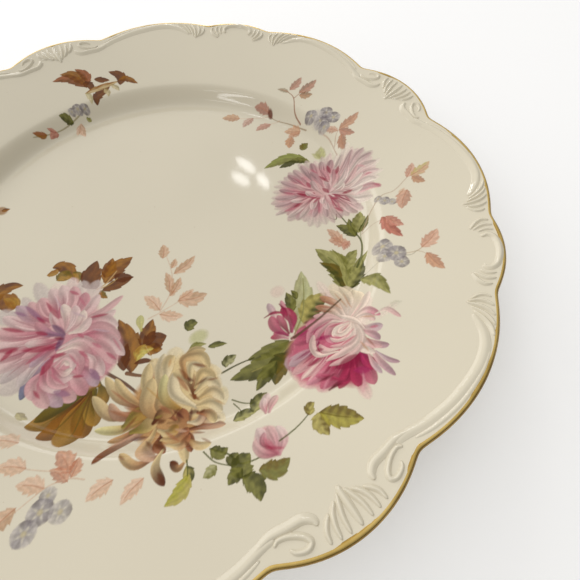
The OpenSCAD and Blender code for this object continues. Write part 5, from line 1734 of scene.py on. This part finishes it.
def make_world():
    """A soft surround, brighter from above and behind the bowl than from the viewer's side."""
    world = bpy.data.worlds.new("studio")
    bpy.context.scene.world = world
    world.use_nodes = True
    tree = world.node_tree
    place = tree.nodes.new("ShaderNodeTexCoord")
    toward = tree.nodes.new("ShaderNodeVectorMath")
    toward.operation = "DOT_PRODUCT"
    toward.inputs[1].default_value = Vector((-0.36, 0.58, 0.72)).normalized()
    tree.links.new(place.outputs["Generated"], toward.inputs[0])
    ramp = tree.nodes.new("ShaderNodeValToRGB")
    stops = ((0.0, 0.16), (0.35, 0.32), (0.62, 0.66), (1.0, 1.20))
    while len(ramp.color_ramp.elements) < len(stops):
        ramp.color_ramp.elements.new(0.5)
    for element, (at, level) in zip(ramp.color_ramp.elements, stops):
        element.position = at
        element.color = (level, level * 0.99, level * 0.965, 1)
    spread = tree.nodes.new("ShaderNodeMapRange")
    spread.inputs["From Min"].default_value = -1.0
    tree.links.new(toward.outputs["Value"], spread.inputs["Value"])
    tree.links.new(spread.outputs["Result"], ramp.inputs["Fac"])
    tree.links.new(ramp.outputs["Color"], tree.nodes["Background"].inputs["Color"])
    tree.nodes["Background"].inputs["Strength"].default_value = 1.0


def make_lights():
    """A lamp of three bulbs, seen as the small bright marks in the well, a pair of long lamps
    whose streaks lie on the far side, and the soft light of windows behind the bowl."""
    for name, place, size, power, roll in (
        ("bulb_1", (0.392, 0.761, 0.740), (0.070, 0.026), 0.036, -42),
        ("bulb_2", (0.359, 0.741, 0.764), (0.064, 0.030), 0.036, -38),
        ("bulb_3", (0.416, 0.702, 0.772), (0.050, 0.026), 0.028, -58),
    ):
        make_lamp(name, place, size, power, target=(0.047, 0.008, 0.0085), roll=roll)
    make_lamp("strip_1", (-0.783, -0.141, 0.682), (0.30, 0.05), 0.20, target=(0.07, 0.06, 0.014))
    make_lamp("strip_2", (-0.74, -0.18, 0.80), (0.40, 0.03), 0.10, target=(0.07, 0.06, 0.014))
    make_lamp("window", (0.46, 0.93, 0.60), (0.34, 0.10), 0.9, target=(0.06, 0.04, 0.01))
    make_lamp("low_window", (-0.34, 1.26, 0.34), (2.0, 0.8), 6.0, target=(0, 0, 0.02))


# The camera's lens and distance in millimetres, its target, and its angles in degrees
LENS = 23.69
DISTANCE = 148.0
TARGET = (27.8, -55.2, 8.5)
TILT, TURN_ABOUT, ROLL = 59.9, -123.0, -0.8


def make_camera():
    """The photograph's view: close above the front edge, looking down at about sixty degrees."""
    data = bpy.data.cameras.new("view")
    data.sensor_width = 36.0
    data.lens = LENS
    data.clip_start = 0.005
    camera = bpy.data.objects.new("view", data)
    bpy.context.scene.collection.objects.link(camera)
    target = Vector(TARGET) * MM
    tilt, turn, distance = math.radians(TILT), math.radians(TURN_ABOUT), DISTANCE * MM
    out = Vector((math.cos(tilt) * math.cos(turn), math.cos(tilt) * math.sin(turn), math.sin(tilt)))
    camera.location = target + out * distance
    roll = Matrix.Rotation(math.radians(ROLL), 3, "Z")
    turned = (-out).to_track_quat("-Z", "Y").to_matrix() @ roll
    camera.rotation_euler = turned.to_euler()
    bpy.context.scene.camera = camera


make_body()
make_foot()
make_gilding(np.random.default_rng(7))
make_palmettes()
make_curls()
make_ridges()
make_fans()
make_arches()
make_fronds()
make_skins()
make_floor()
make_world()
make_lights()
make_camera()
bpy.context.scene.view_settings.view_transform = "Standard"
